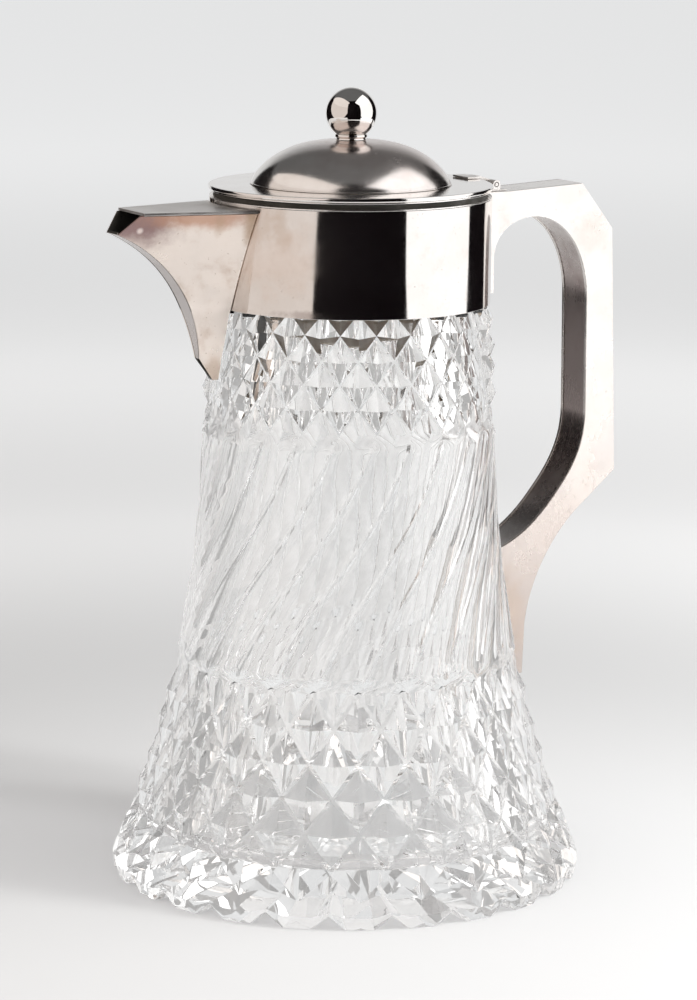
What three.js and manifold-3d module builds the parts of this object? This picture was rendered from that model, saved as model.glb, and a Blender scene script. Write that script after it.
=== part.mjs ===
// A lidded claret jug: a flared body of thick cut crystal, with a plated collar, spout, handle and hinged lid.
// Millimetres, +Z up. The origin is the centre of the ground foot, on the table.
// The handle points along +X and the spout along -X. Left is -Y, as seen by the person who pours.

import * as THREE from 'three';
import { mergeVertices } from 'three/addons/utils/BufferGeometryUtils.js';
import Module from 'manifold-3d';

const wasm = await Module();
wasm.setup();

// Clearances. Round pieces are faceted, so they keep more room than flat faces do.
const roundFit = 0.3;
const solderGap = 0.1;
const cementThickness = 3.2;

// Crystal body
const footRadius = 87.4;
const footEdgeInset = 0.8;
const footBandTop = 5;
const waistRadius = 54.3;
const waistHeight = 170;
const shoulderHeight = 212.2;
const shoulderProud = 0.5;
const neckHeight = 24;
const neckWall = 5.3;
const bodyWall = 7.5;
const footWall = 9.5;
const floorThickness = 14;
const floorCornerRadius = 9;

// Cut pattern of the crystal. The flutes between the two bands of diamonds twist by the cuts given.
const cutCount = 24;
const cutPhase = 12.3;
const upperRowPitch = 8.6;
const upperRowCount = 4;
const upperTopStep = 6.3;
const upperCutDepth = 2.2;
const fluteTwistCuts = 3.5;
const fluteTwistEase = 0.04;
const fluteDepth = 1.3;
const fluteRise = 6.5;
const fluteStepCount = 12;
const lowerRowPitch = 12.05;
const lowerRowCount = 6;
const lowerCutDepth = 2.9;
const scallopHeight = 12.5;
const scallopDip = 2.8;
const scallopBottomRow = 18.8;
const starInnerRadius = 28;
const starNotchHeight = 5.2;
const starNotchWidth = 12.4;

// Collar
const collarRadius = 51.5;
const collarHeight = 38.3;
const sheet = 1;
const rimThickness = 0.5;
const rimNeckHeight = 1.6;
const rimNeckRadius = 50;
const rimMouthRadius = 44.6;
const rimNeckWall = 1.2;
const rimSkirtDrop = 3.7;

// Spout
const spoutLength = 43.9;
const mouthRake = 7.4;
const mouthTopWidth = 21.4;
const mouthBottomWidth = 10;
const mouthHeight = 7.9;
const spoutRootWidth = 39.4;
const spoutFlankSlope = 0.39;
const spoutPlateDrop = 1.1;
const spoutTailDrop = 25.4;
const spoutTailProud = 2.6;
const keelKneeDepth = 12.7;
const portSill = 2.6;
const portMargin = 0.6;

// Handle. Depths are measured outwards from the collar, and drops down from the collar's top or the elbow.
const handleWidth = 17.5;
const sideSheet = 1.6;
const stripSheet = 1.2;
const stripInset = 0.4;
const handleRootDepth = 4.5;
const handleSeatLength = 10.7;
const handleTopRise = 1.65;
const handleCornerDepth = 42.7;
const handleChamferDrop = 17.5;
const gripDepth = 45.4;
const gripTopThickness = 11;
const gripBottomThickness = 14.2;
const archDrop = 10;
const archRootDrop = 14.8;
const archGripDrop = 32.8;
const archCentreDepth = 21.7;
const elbowHeight = 142.1;
const elbowChamferDepth = 16.4;
const elbowChamferDrop = 13.7;
const gripBendRise = 22.9;
const gripBendDepth = 14.3;
const gripBendLength = 32.6;
const lowerArmDrop = 26.9;
const tailBackDrop = 56.1;
const tailTipDrop = 75.6;
const tailDepth = 9.2;
const tailTipDepth = 4;

// Lid hinge
const hingeSetback = 5.9;
const hingeFoot = 0.5;
const hingeFootLength = 8;
const knuckleRadius = 1.6;
const pinRadius = 0.75;
const pinFit = 0.25;
const barrelLength = 14;
const lidKnuckleLength = 5.8;
const leafThickness = 0.7;
const leafReach = 5.2;
const leafWidth = 11;

// Lid
const flangeRadius = 51.9;
const flangeThickness = 1.6;
const bezelPlate = 0.5;
const bezelInset = 0.8;
const bezelDrop = 6.4;
const bezelWall = 1.2;
const domeRadius = 36.3;
const domeHeight = 15.9;
const domeLip = 0.4;
const domeFullness = 2.8;
const domeShoulder = 0.74;
const ballRadius = 9.3;
const ballSeatRadius = 5.7;
const knobFootRadius = 5.6;
const knobFootHeight = 2;
const knobRootRadius = 5.3;
const knobBeadRadius = 5.9;
const studRadius = 2;
const studBite = 9;
const studTail = 1.6;
const nutHeight = 3.2;
const nutAcrossFlats = 7;
const washerRadius = 5;
const washerThickness = 0.8;

// Heights of the stack, worked out from the sizes above
const collarBottom = shoulderHeight + roundFit;
const collarTop = collarBottom + collarHeight;
const rimBottom = collarTop + solderGap;
const rimTop = rimBottom + rimThickness;
const rimNeckTop = rimTop + rimNeckHeight;
const bezelBottom = rimNeckTop + roundFit;
const flangeBottom = bezelBottom + bezelPlate + solderGap;
const flangeTop = flangeBottom + flangeThickness;
const domeBase = flangeTop + solderGap;
const domeTop = domeBase + domeHeight;
const knobFootBottom = domeTop + solderGap;
const knobFootTop = knobFootBottom + knobFootHeight;
const ballCentre = knobFootTop + solderGap + Math.sqrt(ballRadius ** 2 - ballSeatRadius ** 2);
const neckTop = shoulderHeight + neckHeight;

// Radii that follow from the collar
const collarInside = collarRadius - sheet;
const shoulderRadius = collarRadius + shoulderProud;
const neckRadius = collarInside - cementThickness - roundFit * 2;
const neckInside = neckRadius - neckWall;
const studHole = studRadius + roundFit;

// Counts of flat sides on turned pieces
const roundSides = 48;
const smallSides = 24;
const columns = cutCount * 2;
const fluteTwist = fluteTwistCuts * (360 / cutCount);

const silver = { color: 0xd9d2cb, roughness: 0.2, metalness: 1 };
const crystal = { color: 0xe9efef, roughness: 0.05, metalness: 0, transparent: true, opacity: 0.45 };
const brass = { color: 0xb8994f, roughness: 0.35, metalness: 1 };
const plaster = { color: 0xe6e0d4, roughness: 0.9, metalness: 0 };

const jug = new THREE.Group();
const lid = new THREE.Group();
jug.add(lid);

function addPiece(group, name, geometry, finish) {
  const mesh = new THREE.Mesh(geometry, new THREE.MeshStandardMaterial(finish));
  mesh.name = name;
  group.add(mesh);
  return mesh;
}

// Joining and cutting of closed meshes
function toSolid(geometry) {
  const bare = geometry.clone();
  bare.deleteAttribute('normal');
  bare.deleteAttribute('uv');
  const merged = mergeVertices(bare, 1e-4);
  return new wasm.Manifold(new wasm.Mesh({
    numProp: 3,
    vertProperties: new Float32Array(merged.attributes.position.array),
    triVerts: new Uint32Array(merged.index.array),
  }));
}

function toGeometry(solid) {
  const mesh = solid.getMesh();
  const geometry = new THREE.BufferGeometry();
  geometry.setAttribute('position', new THREE.BufferAttribute(new Float32Array(mesh.vertProperties), 3));
  geometry.setIndex(new THREE.BufferAttribute(new Uint32Array(mesh.triVerts), 1));
  return geometry;
}

// A turned piece about the Z axis, from [radius, height] points
function turned(profile, sides = roundSides) {
  const points = profile.map(([r, z]) => new THREE.Vector2(r, z));
  const geometry = new THREE.LatheGeometry(points, sides);
  return geometry.rotateX(Math.PI / 2);
}

// A turned ring, whose profile closes on itself, given anticlockwise
function turnedRing(profile, sides = roundSides) {
  return turned([...profile, profile[0]], sides);
}

// A flat plate cut to [x, z] points and as thick as given along Y, centred at middleY
function plateXZ(points, thickness, middleY) {
  const shape = new THREE.Shape(points.map(([x, z]) => new THREE.Vector2(x, z)));
  const geometry = new THREE.ExtrudeGeometry(shape, { depth: thickness, bevelEnabled: false });
  return geometry.rotateX(Math.PI / 2).translate(0, middleY + thickness / 2, 0);
}

function cylinderY(radius, length, x, y, z, sides) {
  return new THREE.CylinderGeometry(radius, radius, length, sides).translate(x, y, z);
}

function bezierPoints(p0, p1, p2, p3, steps) {
  const curve = new THREE.CubicBezierCurve(...[p0, p1, p2, p3].map(([x, y]) => new THREE.Vector2(x, y)));
  return curve.getPoints(steps).map((p) => [p.x, p.y]);
}

// Crystal body

// Radius over the points of the cut pattern, before anything is cut away
function bodyRadius(z) {
  if (z < footBandTop) {
    return footRadius - footEdgeInset * (1 - z / footBandTop) ** 2;
  }
  if (z < waistHeight) {
    const down = (waistHeight - z) / (waistHeight - footBandTop);
    return waistRadius + (footRadius - waistRadius) * down ** 2;
  }
  const up = (z - waistHeight) / (shoulderHeight - waistHeight);
  return waistRadius + (shoulderRadius - waistRadius) * up ** 2;
}

// Each row of the pattern has two points to a cut: one in the groove crossing and one on the pyramid.
// crossing says which of the two columns holds the crossing: 0 or 1.
function patternRows() {
  const rows = [];
  const upperTop = shoulderHeight - upperTopStep;
  const upperBottom = upperTop - upperRowCount * upperRowPitch;
  const lowerTop = scallopBottomRow + (lowerRowCount - 1) * lowerRowPitch;
  rows.push({ z: shoulderHeight, phase: cutPhase, crossing: 1, cuts: [0.6, 1.6] });
  for (let i = 0; i < upperRowCount; i += 1) {
    const crossing = i % 2;
    const cuts = crossing === 0 ? [upperCutDepth, 0] : [0, upperCutDepth];
    rows.push({ z: upperTop - i * upperRowPitch, phase: cutPhase, crossing, cuts });
  }
  rows.push({ z: upperBottom, phase: cutPhase, crossing: 0, cuts: [upperCutDepth, fluteDepth] });
  const fluteTop = upperBottom - fluteRise;
  const fluteBottom = lowerTop + fluteRise;
  for (let i = 0; i <= fluteStepCount; i += 1) {
    const z = fluteTop + (fluteBottom - fluteTop) * (i / fluteStepCount);
    rows.push({ z, flute: true, cuts: [0, fluteDepth] });
  }
  for (const row of rows) {
    if (row.flute) {
      const along = (upperBottom - row.z) / (upperBottom - lowerTop);
      row.phase = cutPhase - fluteTwist * (along - fluteTwistEase * Math.sin(2 * Math.PI * along));
    }
  }
  const lowerPhase = cutPhase - fluteTwist;
  for (let i = 0; i < lowerRowCount; i += 1) {
    const crossing = i % 2;
    const edge = i === 0 ? fluteDepth : 0;
    const cuts = crossing === 0 ? [lowerCutDepth, edge] : [edge, lowerCutDepth];
    rows.push({ z: lowerTop - i * lowerRowPitch, phase: lowerPhase, crossing, cuts });
  }
  const lastCrossing = (lowerRowCount - 1) % 2;
  const dips = lastCrossing === 0 ? [0, scallopDip] : [scallopDip, 0];
  rows.push({ z: scallopHeight, dips, phase: lowerPhase, crossing: 1 - lastCrossing, cuts: [0.2, 0.2] });
  rows.push({ z: footBandTop, phase: lowerPhase, cuts: [0, 0] });
  rows.push({ z: 0, phase: lowerPhase, cuts: [0, 0] });
  return rows;
}

function cutCrystal() {
  const positions = [];
  const triangles = [];
  const rows = patternRows();
  const addRow = (pointAt) => {
    const first = positions.length / 3;
    for (let j = 0; j < columns; j += 1) {
      positions.push(...pointAt(j));
    }
    return first;
  };
  const ringAt = (radius, z, phase) => (j) => {
    const angle = THREE.MathUtils.degToRad(phase + (j * 360) / columns);
    return [radius * Math.cos(angle), radius * Math.sin(angle), z];
  };
  const starts = [
    addRow(ringAt(neckRadius, neckTop, cutPhase)),
    addRow(ringAt(neckRadius, shoulderHeight, cutPhase)),
  ];
  for (const row of rows) {
    starts.push(addRow((j) => {
      const z = row.z - (row.dips ? row.dips[j % 2] : 0);
      return ringAt(bodyRadius(z) - row.cuts[j % 2], z, row.phase)(j);
    }));
  }
  const joinRows = (above, below, rowAbove, rowBelow) => {
    for (let j = 0; j < columns; j += 1) {
      const k = (j + 1) % columns;
      const cornersCross = rowAbove && rowAbove.crossing !== undefined && rowBelow.crossing !== undefined;
      const fallsRight = cornersCross ? j % 2 === rowAbove.crossing : false;
      if (fallsRight) {
        triangles.push(above + j, below + j, below + k, above + j, below + k, above + k);
      } else {
        triangles.push(above + j, below + j, above + k, above + k, below + j, below + k);
      }
    }
  };
  joinRows(starts[0], starts[1]);
  joinRows(starts[1], starts[2]);
  for (let i = 0; i + 1 < rows.length; i += 1) {
    joinRows(starts[i + 2], starts[i + 3], rows[i], rows[i + 1]);
  }
  const topCentre = positions.length / 3;
  positions.push(0, 0, neckTop, 0, 0, 0);
  const last = starts[starts.length - 1];
  for (let j = 0; j < columns; j += 1) {
    const k = (j + 1) % columns;
    triangles.push(topCentre, starts[0] + j, starts[0] + k);
    triangles.push(topCentre + 1, last + k, last + j);
  }
  const geometry = new THREE.BufferGeometry();
  geometry.setAttribute('position', new THREE.Float32BufferAttribute(positions, 3));
  geometry.setIndex(triangles);
  return geometry;
}

// Radius of the smooth inside of the jug
function insideRadius(z) {
  const lift = Math.min(1, z / waistHeight);
  const wall = footWall + (bodyWall - footWall) * lift;
  const blend = Math.max(0, Math.min(1, (z - waistHeight) / (shoulderHeight - waistHeight)));
  return (bodyRadius(Math.min(z, shoulderHeight)) - wall) * (1 - blend) + neckInside * blend;
}

function hollowOfCrystal() {
  const profile = [[0, floorThickness]];
  const corner = floorThickness + floorCornerRadius;
  const cornerRadius = insideRadius(corner);
  for (let i = 0; i <= 4; i += 1) {
    const angle = (Math.PI / 2) * (i / 4);
    const r = cornerRadius - floorCornerRadius * (1 - Math.sin(angle));
    profile.push([r, corner - floorCornerRadius * Math.cos(angle)]);
  }
  const steps = 9;
  for (let i = 1; i <= steps; i += 1) {
    const z = corner + (shoulderHeight - corner) * (i / steps);
    profile.push([insideRadius(z), z]);
  }
  profile.push([neckInside, neckTop + 1], [0, neckTop + 1]);
  return turned(profile);
}

// One V groove of the star that is cut into the foot: it runs out to the edge and makes a notch there
function starGroove(angle) {
  const out = bodyRadius(0) + 2;
  const grow = (out - starInnerRadius) / (bodyRadius(0) - starInnerRadius);
  const below = 0.5;
  const high = starNotchHeight * grow;
  const halfWide = (starNotchWidth / 2) * grow * ((high + below) / high);
  const geometry = new THREE.BufferGeometry();
  const corners = [
    starInnerRadius, 0, -below,
    out, -halfWide, -below,
    out, halfWide, -below,
    out, 0, high,
  ];
  geometry.setAttribute('position', new THREE.Float32BufferAttribute(corners, 3));
  geometry.setIndex([0, 2, 1, 0, 1, 3, 0, 3, 2, 1, 2, 3]);
  return geometry.rotateZ(angle);
}

function glassBody() {
  let body = toSolid(cutCrystal()).subtract(toSolid(hollowOfCrystal()));
  const underCrossing = cutPhase - fluteTwist + ((lowerRowCount - 1) % 2) * (180 / cutCount);
  for (let i = 0; i < cutCount; i += 1) {
    const angle = THREE.MathUtils.degToRad(underCrossing + (i * 360) / cutCount);
    body = body.subtract(toSolid(starGroove(angle)));
  }
  return toGeometry(body);
}

addPiece(jug, 'glass_body', glassBody(), crystal);

// Plaster that beds the collar on the neck
const cementTop = neckTop - 1.2;
addPiece(jug, 'neck_cement', turnedRing([
  [neckRadius + roundFit, collarBottom + solderGap],
  [collarInside - roundFit, collarBottom + solderGap],
  [collarInside - roundFit, cementTop],
  [neckRadius + roundFit, cementTop],
]), plaster);

// Spout outline. All widths are half widths, measured from the middle plane.
const spoutTop = collarTop - spoutPlateDrop;
const mouthBottom = spoutTop - mouthHeight;
const tailBottom = collarBottom - spoutTailDrop;
const seamFit = collarRadius + roundFit;
const spoutReach = seamFit + spoutLength;
const keelKnee = seamFit + keelKneeDepth;

// Half width of the spout where its cheek meets the collar, or the crystal below the collar
function seamWidth(z) {
  const fallen = spoutRootWidth / 2 - spoutFlankSlope * (spoutTop - z);
  if (z >= collarBottom) {
    return fallen;
  }
  const atCollar = spoutRootWidth / 2 - spoutFlankSlope * (spoutTop - collarBottom);
  const along = Math.min(1, (collarBottom - z) / spoutTailDrop);
  return Math.max(0.9, atCollar * (1 - along ** 1.6));
}

// Half width of the keel, which is even at first and narrows to the tip of the tail
function keelWidth(z) {
  const narrowFrom = collarBottom + 3.5;
  const along = Math.max(0, Math.min(1, (narrowFrom - z) / (narrowFrom - tailBottom)));
  return Math.max(0.9, (mouthBottomWidth / 2) * (1 - along ** 1.5));
}

// Where the cheek ends at the collar or crystal, as a distance from the jug's axis along -X
function seamReach(z) {
  const radius = z >= collarBottom ? seamFit : Math.max(seamFit, bodyRadius(z) + roundFit);
  return Math.sqrt(radius ** 2 - seamWidth(z) ** 2);
}

// The keel's curve, from the mouth's lower lip to the tip of the tail
const tailReach = bodyRadius(tailBottom) + spoutTailProud;
const keelCurve = bezierPoints(
  [spoutReach, mouthBottom],
  [spoutReach - 24, mouthBottom - 10.8],
  [keelKnee, collarBottom - 0.5],
  [keelKnee - 2.1, tailBottom + 8.2],
  8,
);
keelCurve.push([tailReach, tailBottom]);

// Levels of a cheek, from the top down: its height, its free edge and its seam
function cheekLevels(topZ) {
  const levels = [];
  for (const z of [topZ, (topZ + mouthBottom) / 2]) {
    const up = (z - mouthBottom) / mouthHeight;
    const halfWide = mouthBottomWidth / 2 + (mouthTopWidth / 2 - mouthBottomWidth / 2) * up;
    levels.push({ z, edge: [spoutReach - mouthRake * up, halfWide] });
  }
  for (const [reach, z] of keelCurve) {
    levels.push({ z, edge: [reach, keelWidth(z)] });
  }
  for (const level of levels) {
    level.seam = [seamReach(level.z), seamWidth(level.z)];
  }
  return levels;
}

// Joins a stack of four cornered sections into one closed solid
function loftSections(sections) {
  const positions = sections.flat(2);
  const triangles = [0, 2, 1, 0, 3, 2];
  for (let i = 0; i + 1 < sections.length; i += 1) {
    for (let j = 0; j < 4; j += 1) {
      const a = i * 4 + j;
      const b = i * 4 + ((j + 1) % 4);
      triangles.push(a, b, b + 4, a, b + 4, a + 4);
    }
  }
  const end = (sections.length - 1) * 4;
  triangles.push(end, end + 1, end + 2, end, end + 2, end + 3);
  const geometry = new THREE.BufferGeometry();
  geometry.setAttribute('position', new THREE.Float32BufferAttribute(positions, 3));
  geometry.setIndex(triangles);
  return geometry;
}

// A cheek is a thin sheet. Its inner face never crosses the middle plane.
function spoutCheek(side) {
  const plateUnderside = spoutTop - sheet - solderGap;
  const nearMiddle = solderGap + 0.05;
  const sections = cheekLevels(plateUnderside).map(({ z, edge, seam }) => {
    const run = Math.hypot(edge[0] - seam[0], edge[1] - seam[1]);
    const across = sheet * ((edge[0] - seam[0]) / run);
    const inner = (halfWide) => Math.max(nearMiddle, halfWide - across);
    return [
      [-edge[0], side * edge[1], z],
      [-seam[0], side * seam[1], z],
      [-seam[0], side * inner(seam[1]), z],
      [-edge[0], side * inner(edge[1]), z],
    ];
  });
  if (side < 0) {
    sections.forEach((section) => section.reverse());
  }
  return loftSections(sections);
}

// The keel is a narrow strip between the cheeks, and stops where the cheeks close in
function spoutKeel() {
  const sections = [];
  const curve = new THREE.SplineCurve(keelCurve.map(([x, z]) => new THREE.Vector2(x, z)));
  const steps = 12;
  for (let i = 0; i <= steps; i += 1) {
    const at = curve.getPoint(0.86 * (i / steps));
    const along = curve.getTangent(0.86 * (i / steps));
    const halfWide = keelWidth(at.y) - sheet * 1.15 - solderGap;
    const inward = new THREE.Vector2(along.y, -along.x).multiplyScalar(sheet);
    if (halfWide > 0.4) {
      const back = [at.x + inward.x, at.y + inward.y];
      sections.push([
        [-at.x, -halfWide, at.y],
        [-at.x, halfWide, at.y],
        [-back[0], halfWide, back[1]],
        [-back[0], -halfWide, back[1]],
      ]);
    }
  }
  return loftSections(sections);
}

function spoutTopPlate() {
  const lip = spoutReach - mouthRake;
  const half = mouthTopWidth / 2;
  const rootAngle = Math.asin(spoutRootWidth / 2 / seamFit);
  const shape = new THREE.Shape();
  shape.moveTo(-lip, -half);
  const steps = 8;
  for (let i = 0; i <= steps; i += 1) {
    const angle = Math.PI + rootAngle - 2 * rootAngle * (i / steps);
    shape.lineTo(seamFit * Math.cos(angle), seamFit * Math.sin(angle));
  }
  shape.lineTo(-lip, half);
  const geometry = new THREE.ExtrudeGeometry(shape, { depth: sheet, bevelEnabled: false });
  return geometry.translate(0, 0, spoutTop - sheet);
}

// Collar, with the port through which the jug pours into the spout
function collarBand() {
  const band = toSolid(turnedRing([
    [collarInside, collarBottom],
    [collarRadius, collarBottom],
    [collarRadius, collarTop],
    [collarInside, collarTop],
  ]));
  const sill = neckTop + portSill;
  const inset = sheet + portMargin;
  const low = seamWidth(sill) - inset;
  const high = seamWidth(collarTop + 1) - inset;
  const port = new THREE.Shape([
    new THREE.Vector2(-low, sill),
    new THREE.Vector2(low, sill),
    new THREE.Vector2(high, collarTop + 1),
    new THREE.Vector2(-high, collarTop + 1),
  ]);
  const cutter = new THREE.ExtrudeGeometry(port, { depth: collarRadius, bevelEnabled: false });
  cutter.rotateX(Math.PI / 2).rotateZ(-Math.PI / 2).translate(-collarRadius / 4, 0, 0);
  return toGeometry(band.subtract(toSolid(cutter)));
}

addPiece(jug, 'collar_band', collarBand(), silver);

// The rim is one turned ring: a thin ledge over the collar, a neck that carries the lid, and a short skirt
const rimNeckInside = rimNeckRadius - rimNeckWall;
addPiece(jug, 'collar_rim', turnedRing([
  [rimMouthRadius, rimBottom],
  [rimNeckInside, rimBottom],
  [rimNeckInside, collarTop - rimSkirtDrop],
  [collarInside - roundFit, collarTop - rimSkirtDrop],
  [collarInside - roundFit, rimBottom],
  [collarRadius, rimBottom],
  [collarRadius, rimTop],
  [rimNeckRadius, rimTop],
  [rimNeckRadius, rimNeckTop],
  [rimNeckInside, rimNeckTop],
  [rimNeckInside, rimTop],
  [rimMouthRadius, rimTop],
]), silver);

addPiece(jug, 'spout_left_cheek', spoutCheek(-1), silver);
addPiece(jug, 'spout_right_cheek', spoutCheek(1), silver);
addPiece(jug, 'spout_keel', spoutKeel(), silver);
addPiece(jug, 'spout_top_plate', spoutTopPlate(), silver);

// Handle, drawn from the side as [reach from the axis, height]
const handleRoot = collarRadius + roundFit;
const handleTop = collarTop - solderGap / 2;
const handleCornerTop = handleTop + handleTopRise;
const gripInner = handleRoot + gripDepth;
const gripBack = gripInner + gripBottomThickness;
const againstCrystal = (z) => bodyRadius(z) + roundFit;
const tailTop = elbowHeight - tailBackDrop;
const tailTip = elbowHeight - tailTipDrop;
const tailBack = againstCrystal(tailTop) + tailDepth;
const handleBack = [
  [handleRoot, handleTop],
  [handleRoot + handleSeatLength, handleTop],
  [handleRoot + handleCornerDepth, handleCornerTop],
  [gripInner + gripTopThickness, handleCornerTop - handleChamferDrop],
  [gripBack, elbowHeight],
  ...bezierPoints(
    [gripBack - elbowChamferDepth, elbowHeight - elbowChamferDrop],
    [gripBack - elbowChamferDepth * 1.67, elbowHeight - elbowChamferDrop * 1.69],
    [tailBack + 2.1, tailTop + 17],
    [tailBack, tailTop],
    7,
  ),
  [againstCrystal(tailTip) + tailTipDepth, tailTip],
];

// The grip side, from the root strip on the collar over the arch and down to the crystal
const rootInner = handleRoot + handleRootDepth;
const archCrown = collarTop - archDrop;
const archCentre = handleRoot + archCentreDepth;
const gripBend = elbowHeight + gripBendRise;
const lowerArm = elbowHeight - lowerArmDrop;
const armEnd = againstCrystal(lowerArm);
const handleFront = [
  [handleRoot, collarBottom + solderGap * 5],
  [rootInner, collarBottom + solderGap * 5],
  ...bezierPoints(
    [rootInner, archCrown - archRootDrop],
    [rootInner, archCrown - archRootDrop * 0.36],
    [archCentre - handleRootDepth * 2, archCrown],
    [archCentre, archCrown],
    6,
  ),
  ...bezierPoints(
    [archCentre, archCrown],
    [archCentre + 13.5, archCrown],
    [gripInner, archCrown - archGripDrop * 0.39],
    [gripInner, archCrown - archGripDrop],
    8,
  ).slice(1),
  ...bezierPoints(
    [gripInner + 0.4, gripBend],
    [gripInner + 0.2, gripBend - gripBendLength * 0.46],
    [gripInner - gripBendDepth * 0.5, gripBend - gripBendLength * 0.74],
    [gripInner - gripBendDepth, gripBend - gripBendLength],
    5,
  ),
  ...bezierPoints(
    [gripInner - gripBendDepth, gripBend - gripBendLength],
    [gripInner - gripBendDepth * 1.48, lowerArm + 9],
    [armEnd + 9.7, lowerArm + 2.8],
    [armEnd, lowerArm],
    5,
  ).slice(1),
];
const tailSteps = 6;
for (let i = 1; i <= tailSteps; i += 1) {
  const z = lowerArm + (tailTip - lowerArm) * (i / tailSteps);
  handleFront.push([againstCrystal(z), z]);
}

// A strip of sheet that follows a line of points, on the side given: 1 is to the left of the way it runs
function stripAlong(points, inset, thickness, side) {
  const offset = (distance) => points.map((point, i) => {
    const before = points[Math.max(0, i - 1)];
    const after = points[Math.min(points.length - 1, i + 1)];
    const into = new THREE.Vector2(point[0] - before[0], point[1] - before[1]);
    const out = new THREE.Vector2(after[0] - point[0], after[1] - point[1]);
    if (into.length() === 0) {
      into.copy(out);
    }
    if (out.length() === 0) {
      out.copy(into);
    }
    into.normalize();
    out.normalize();
    const middle = into.clone().add(out).normalize();
    const stretch = distance / Math.max(0.5, middle.dot(into));
    return [point[0] - side * middle.y * stretch, point[1] + side * middle.x * stretch];
  });
  return [...offset(inset), ...offset(inset + thickness).reverse()];
}

const sideOutline = [...handleBack, ...handleFront.slice().reverse()];
const sideMiddle = (handleWidth - sideSheet) / 2;
const stripWidth = handleWidth - 2 * sideSheet - 2 * solderGap;
addPiece(jug, 'handle_left_side', plateXZ(sideOutline, sideSheet, -sideMiddle), silver);
addPiece(jug, 'handle_right_side', plateXZ(sideOutline, sideSheet, sideMiddle), silver);
const outerStrip = stripAlong(handleBack, 0, stripSheet, -1);
const innerStrip = stripAlong(handleFront, stripInset, stripSheet, 1);
addPiece(jug, 'handle_outer_strip', plateXZ(outerStrip, stripWidth, 0), silver);
addPiece(jug, 'handle_inner_strip', plateXZ(innerStrip, stripWidth, 0), silver);

// Lid hinge. The pin lies along Y, behind the flange and over the root of the handle.
const hingeX = flangeRadius + hingeSetback;
const footBottom = handleTop + solderGap;
const footTop = footBottom + hingeFoot;
const hingeZ = footTop + roundFit + knuckleRadius;
const pinHole = pinRadius + pinFit;
const fixedKnuckleLength = (barrelLength - lidKnuckleLength) / 2 - roundFit;

function hingeSeat() {
  const plate = new THREE.BoxGeometry(hingeFootLength, barrelLength, hingeFoot);
  let seat = toSolid(plate.translate(hingeX + 0.6, 0, (footBottom + footTop) / 2));
  for (const side of [-1, 1]) {
    const y = side * (barrelLength - fixedKnuckleLength) / 2;
    const block = new THREE.BoxGeometry(knuckleRadius * 1.6, fixedKnuckleLength, hingeZ - footBottom);
    block.translate(hingeX, y, (hingeZ + footBottom) / 2);
    const knuckle = cylinderY(knuckleRadius, fixedKnuckleLength, hingeX, y, hingeZ, 16);
    seat = seat.add(toSolid(block)).add(toSolid(knuckle));
  }
  const bore = cylinderY(pinHole, barrelLength + 2, hingeX, 0, hingeZ, 12);
  return toGeometry(seat.subtract(toSolid(bore)));
}

function hingeLidLeaf() {
  const tabBottom = flangeTop + solderGap;
  const tabTop = tabBottom + leafThickness;
  const neck = [
    [flangeRadius - 0.6, tabBottom],
    [flangeRadius + 0.8, tabBottom],
    [hingeX - knuckleRadius * 0.95, hingeZ + 0.4],
    [hingeX, hingeZ + knuckleRadius * 0.6],
    [hingeX, hingeZ + knuckleRadius * 0.97],
    [flangeRadius + 1.1, tabTop],
    [flangeRadius - 0.6, tabTop],
  ];
  const tab = new THREE.BoxGeometry(leafReach, leafWidth, leafThickness);
  tab.translate(flangeRadius - 0.4 - leafReach / 2, 0, (tabBottom + tabTop) / 2);
  const knuckle = cylinderY(knuckleRadius, lidKnuckleLength, hingeX, 0, hingeZ, 16);
  const bore = cylinderY(pinHole, barrelLength + 2, hingeX, 0, hingeZ, 12);
  const neckPlate = plateXZ(neck.slice().reverse(), lidKnuckleLength, 0);
  return toGeometry(toSolid(tab).add(toSolid(neckPlate)).add(toSolid(knuckle)).subtract(toSolid(bore)));
}

addPiece(jug, 'hinge_seat', hingeSeat(), silver);
addPiece(jug, 'hinge_pin', cylinderY(pinRadius, barrelLength, hingeX, 0, hingeZ, 12), silver);
addPiece(lid, 'hinge_lid_leaf', hingeLidLeaf(), silver);

// Lid. The bezel hangs into the rim, the flange lies on it, and the dome stands on the flange.
const bezelRadius = rimMouthRadius - roundFit * 3;
addPiece(lid, 'lid_bezel', turnedRing([
  [bezelRadius - bezelWall, bezelBottom - bezelDrop],
  [bezelRadius, bezelBottom - bezelDrop],
  [bezelRadius, bezelBottom],
  [flangeRadius - bezelInset, bezelBottom],
  [flangeRadius - bezelInset, bezelBottom + bezelPlate],
  [bezelRadius - bezelWall, bezelBottom + bezelPlate],
]), silver);

const flangeHole = domeRadius - 3;
addPiece(lid, 'lid_flange', turnedRing([
  [flangeHole, flangeBottom],
  [flangeRadius, flangeBottom],
  [flangeRadius, flangeTop],
  [flangeHole, flangeTop],
]), silver);

function domeProfile() {
  const outer = [];
  const inner = [];
  const steps = 9;
  for (let i = 0; i <= steps; i += 1) {
    const r = studHole + (domeRadius - studHole) * Math.cos((Math.PI / 2) * (i / steps));
    const rise = (domeHeight - domeLip) * (1 - (r / domeRadius) ** domeFullness) ** domeShoulder;
    outer.push([r, domeBase + domeLip + rise]);
  }
  for (const i of [steps, 7, 5, 3, 2, 1]) {
    const [r, z] = outer[i];
    inner.push([r - sheet * (1 - i / steps), z - sheet]);
  }
  return { outer, inner };
}

const dome = domeProfile();
addPiece(lid, 'lid_dome', turnedRing([
  [domeRadius - sheet, domeBase],
  [domeRadius + domeLip, domeBase],
  [domeRadius + domeLip, domeBase + domeLip],
  ...dome.outer,
  ...dome.inner,
]), silver);

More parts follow.
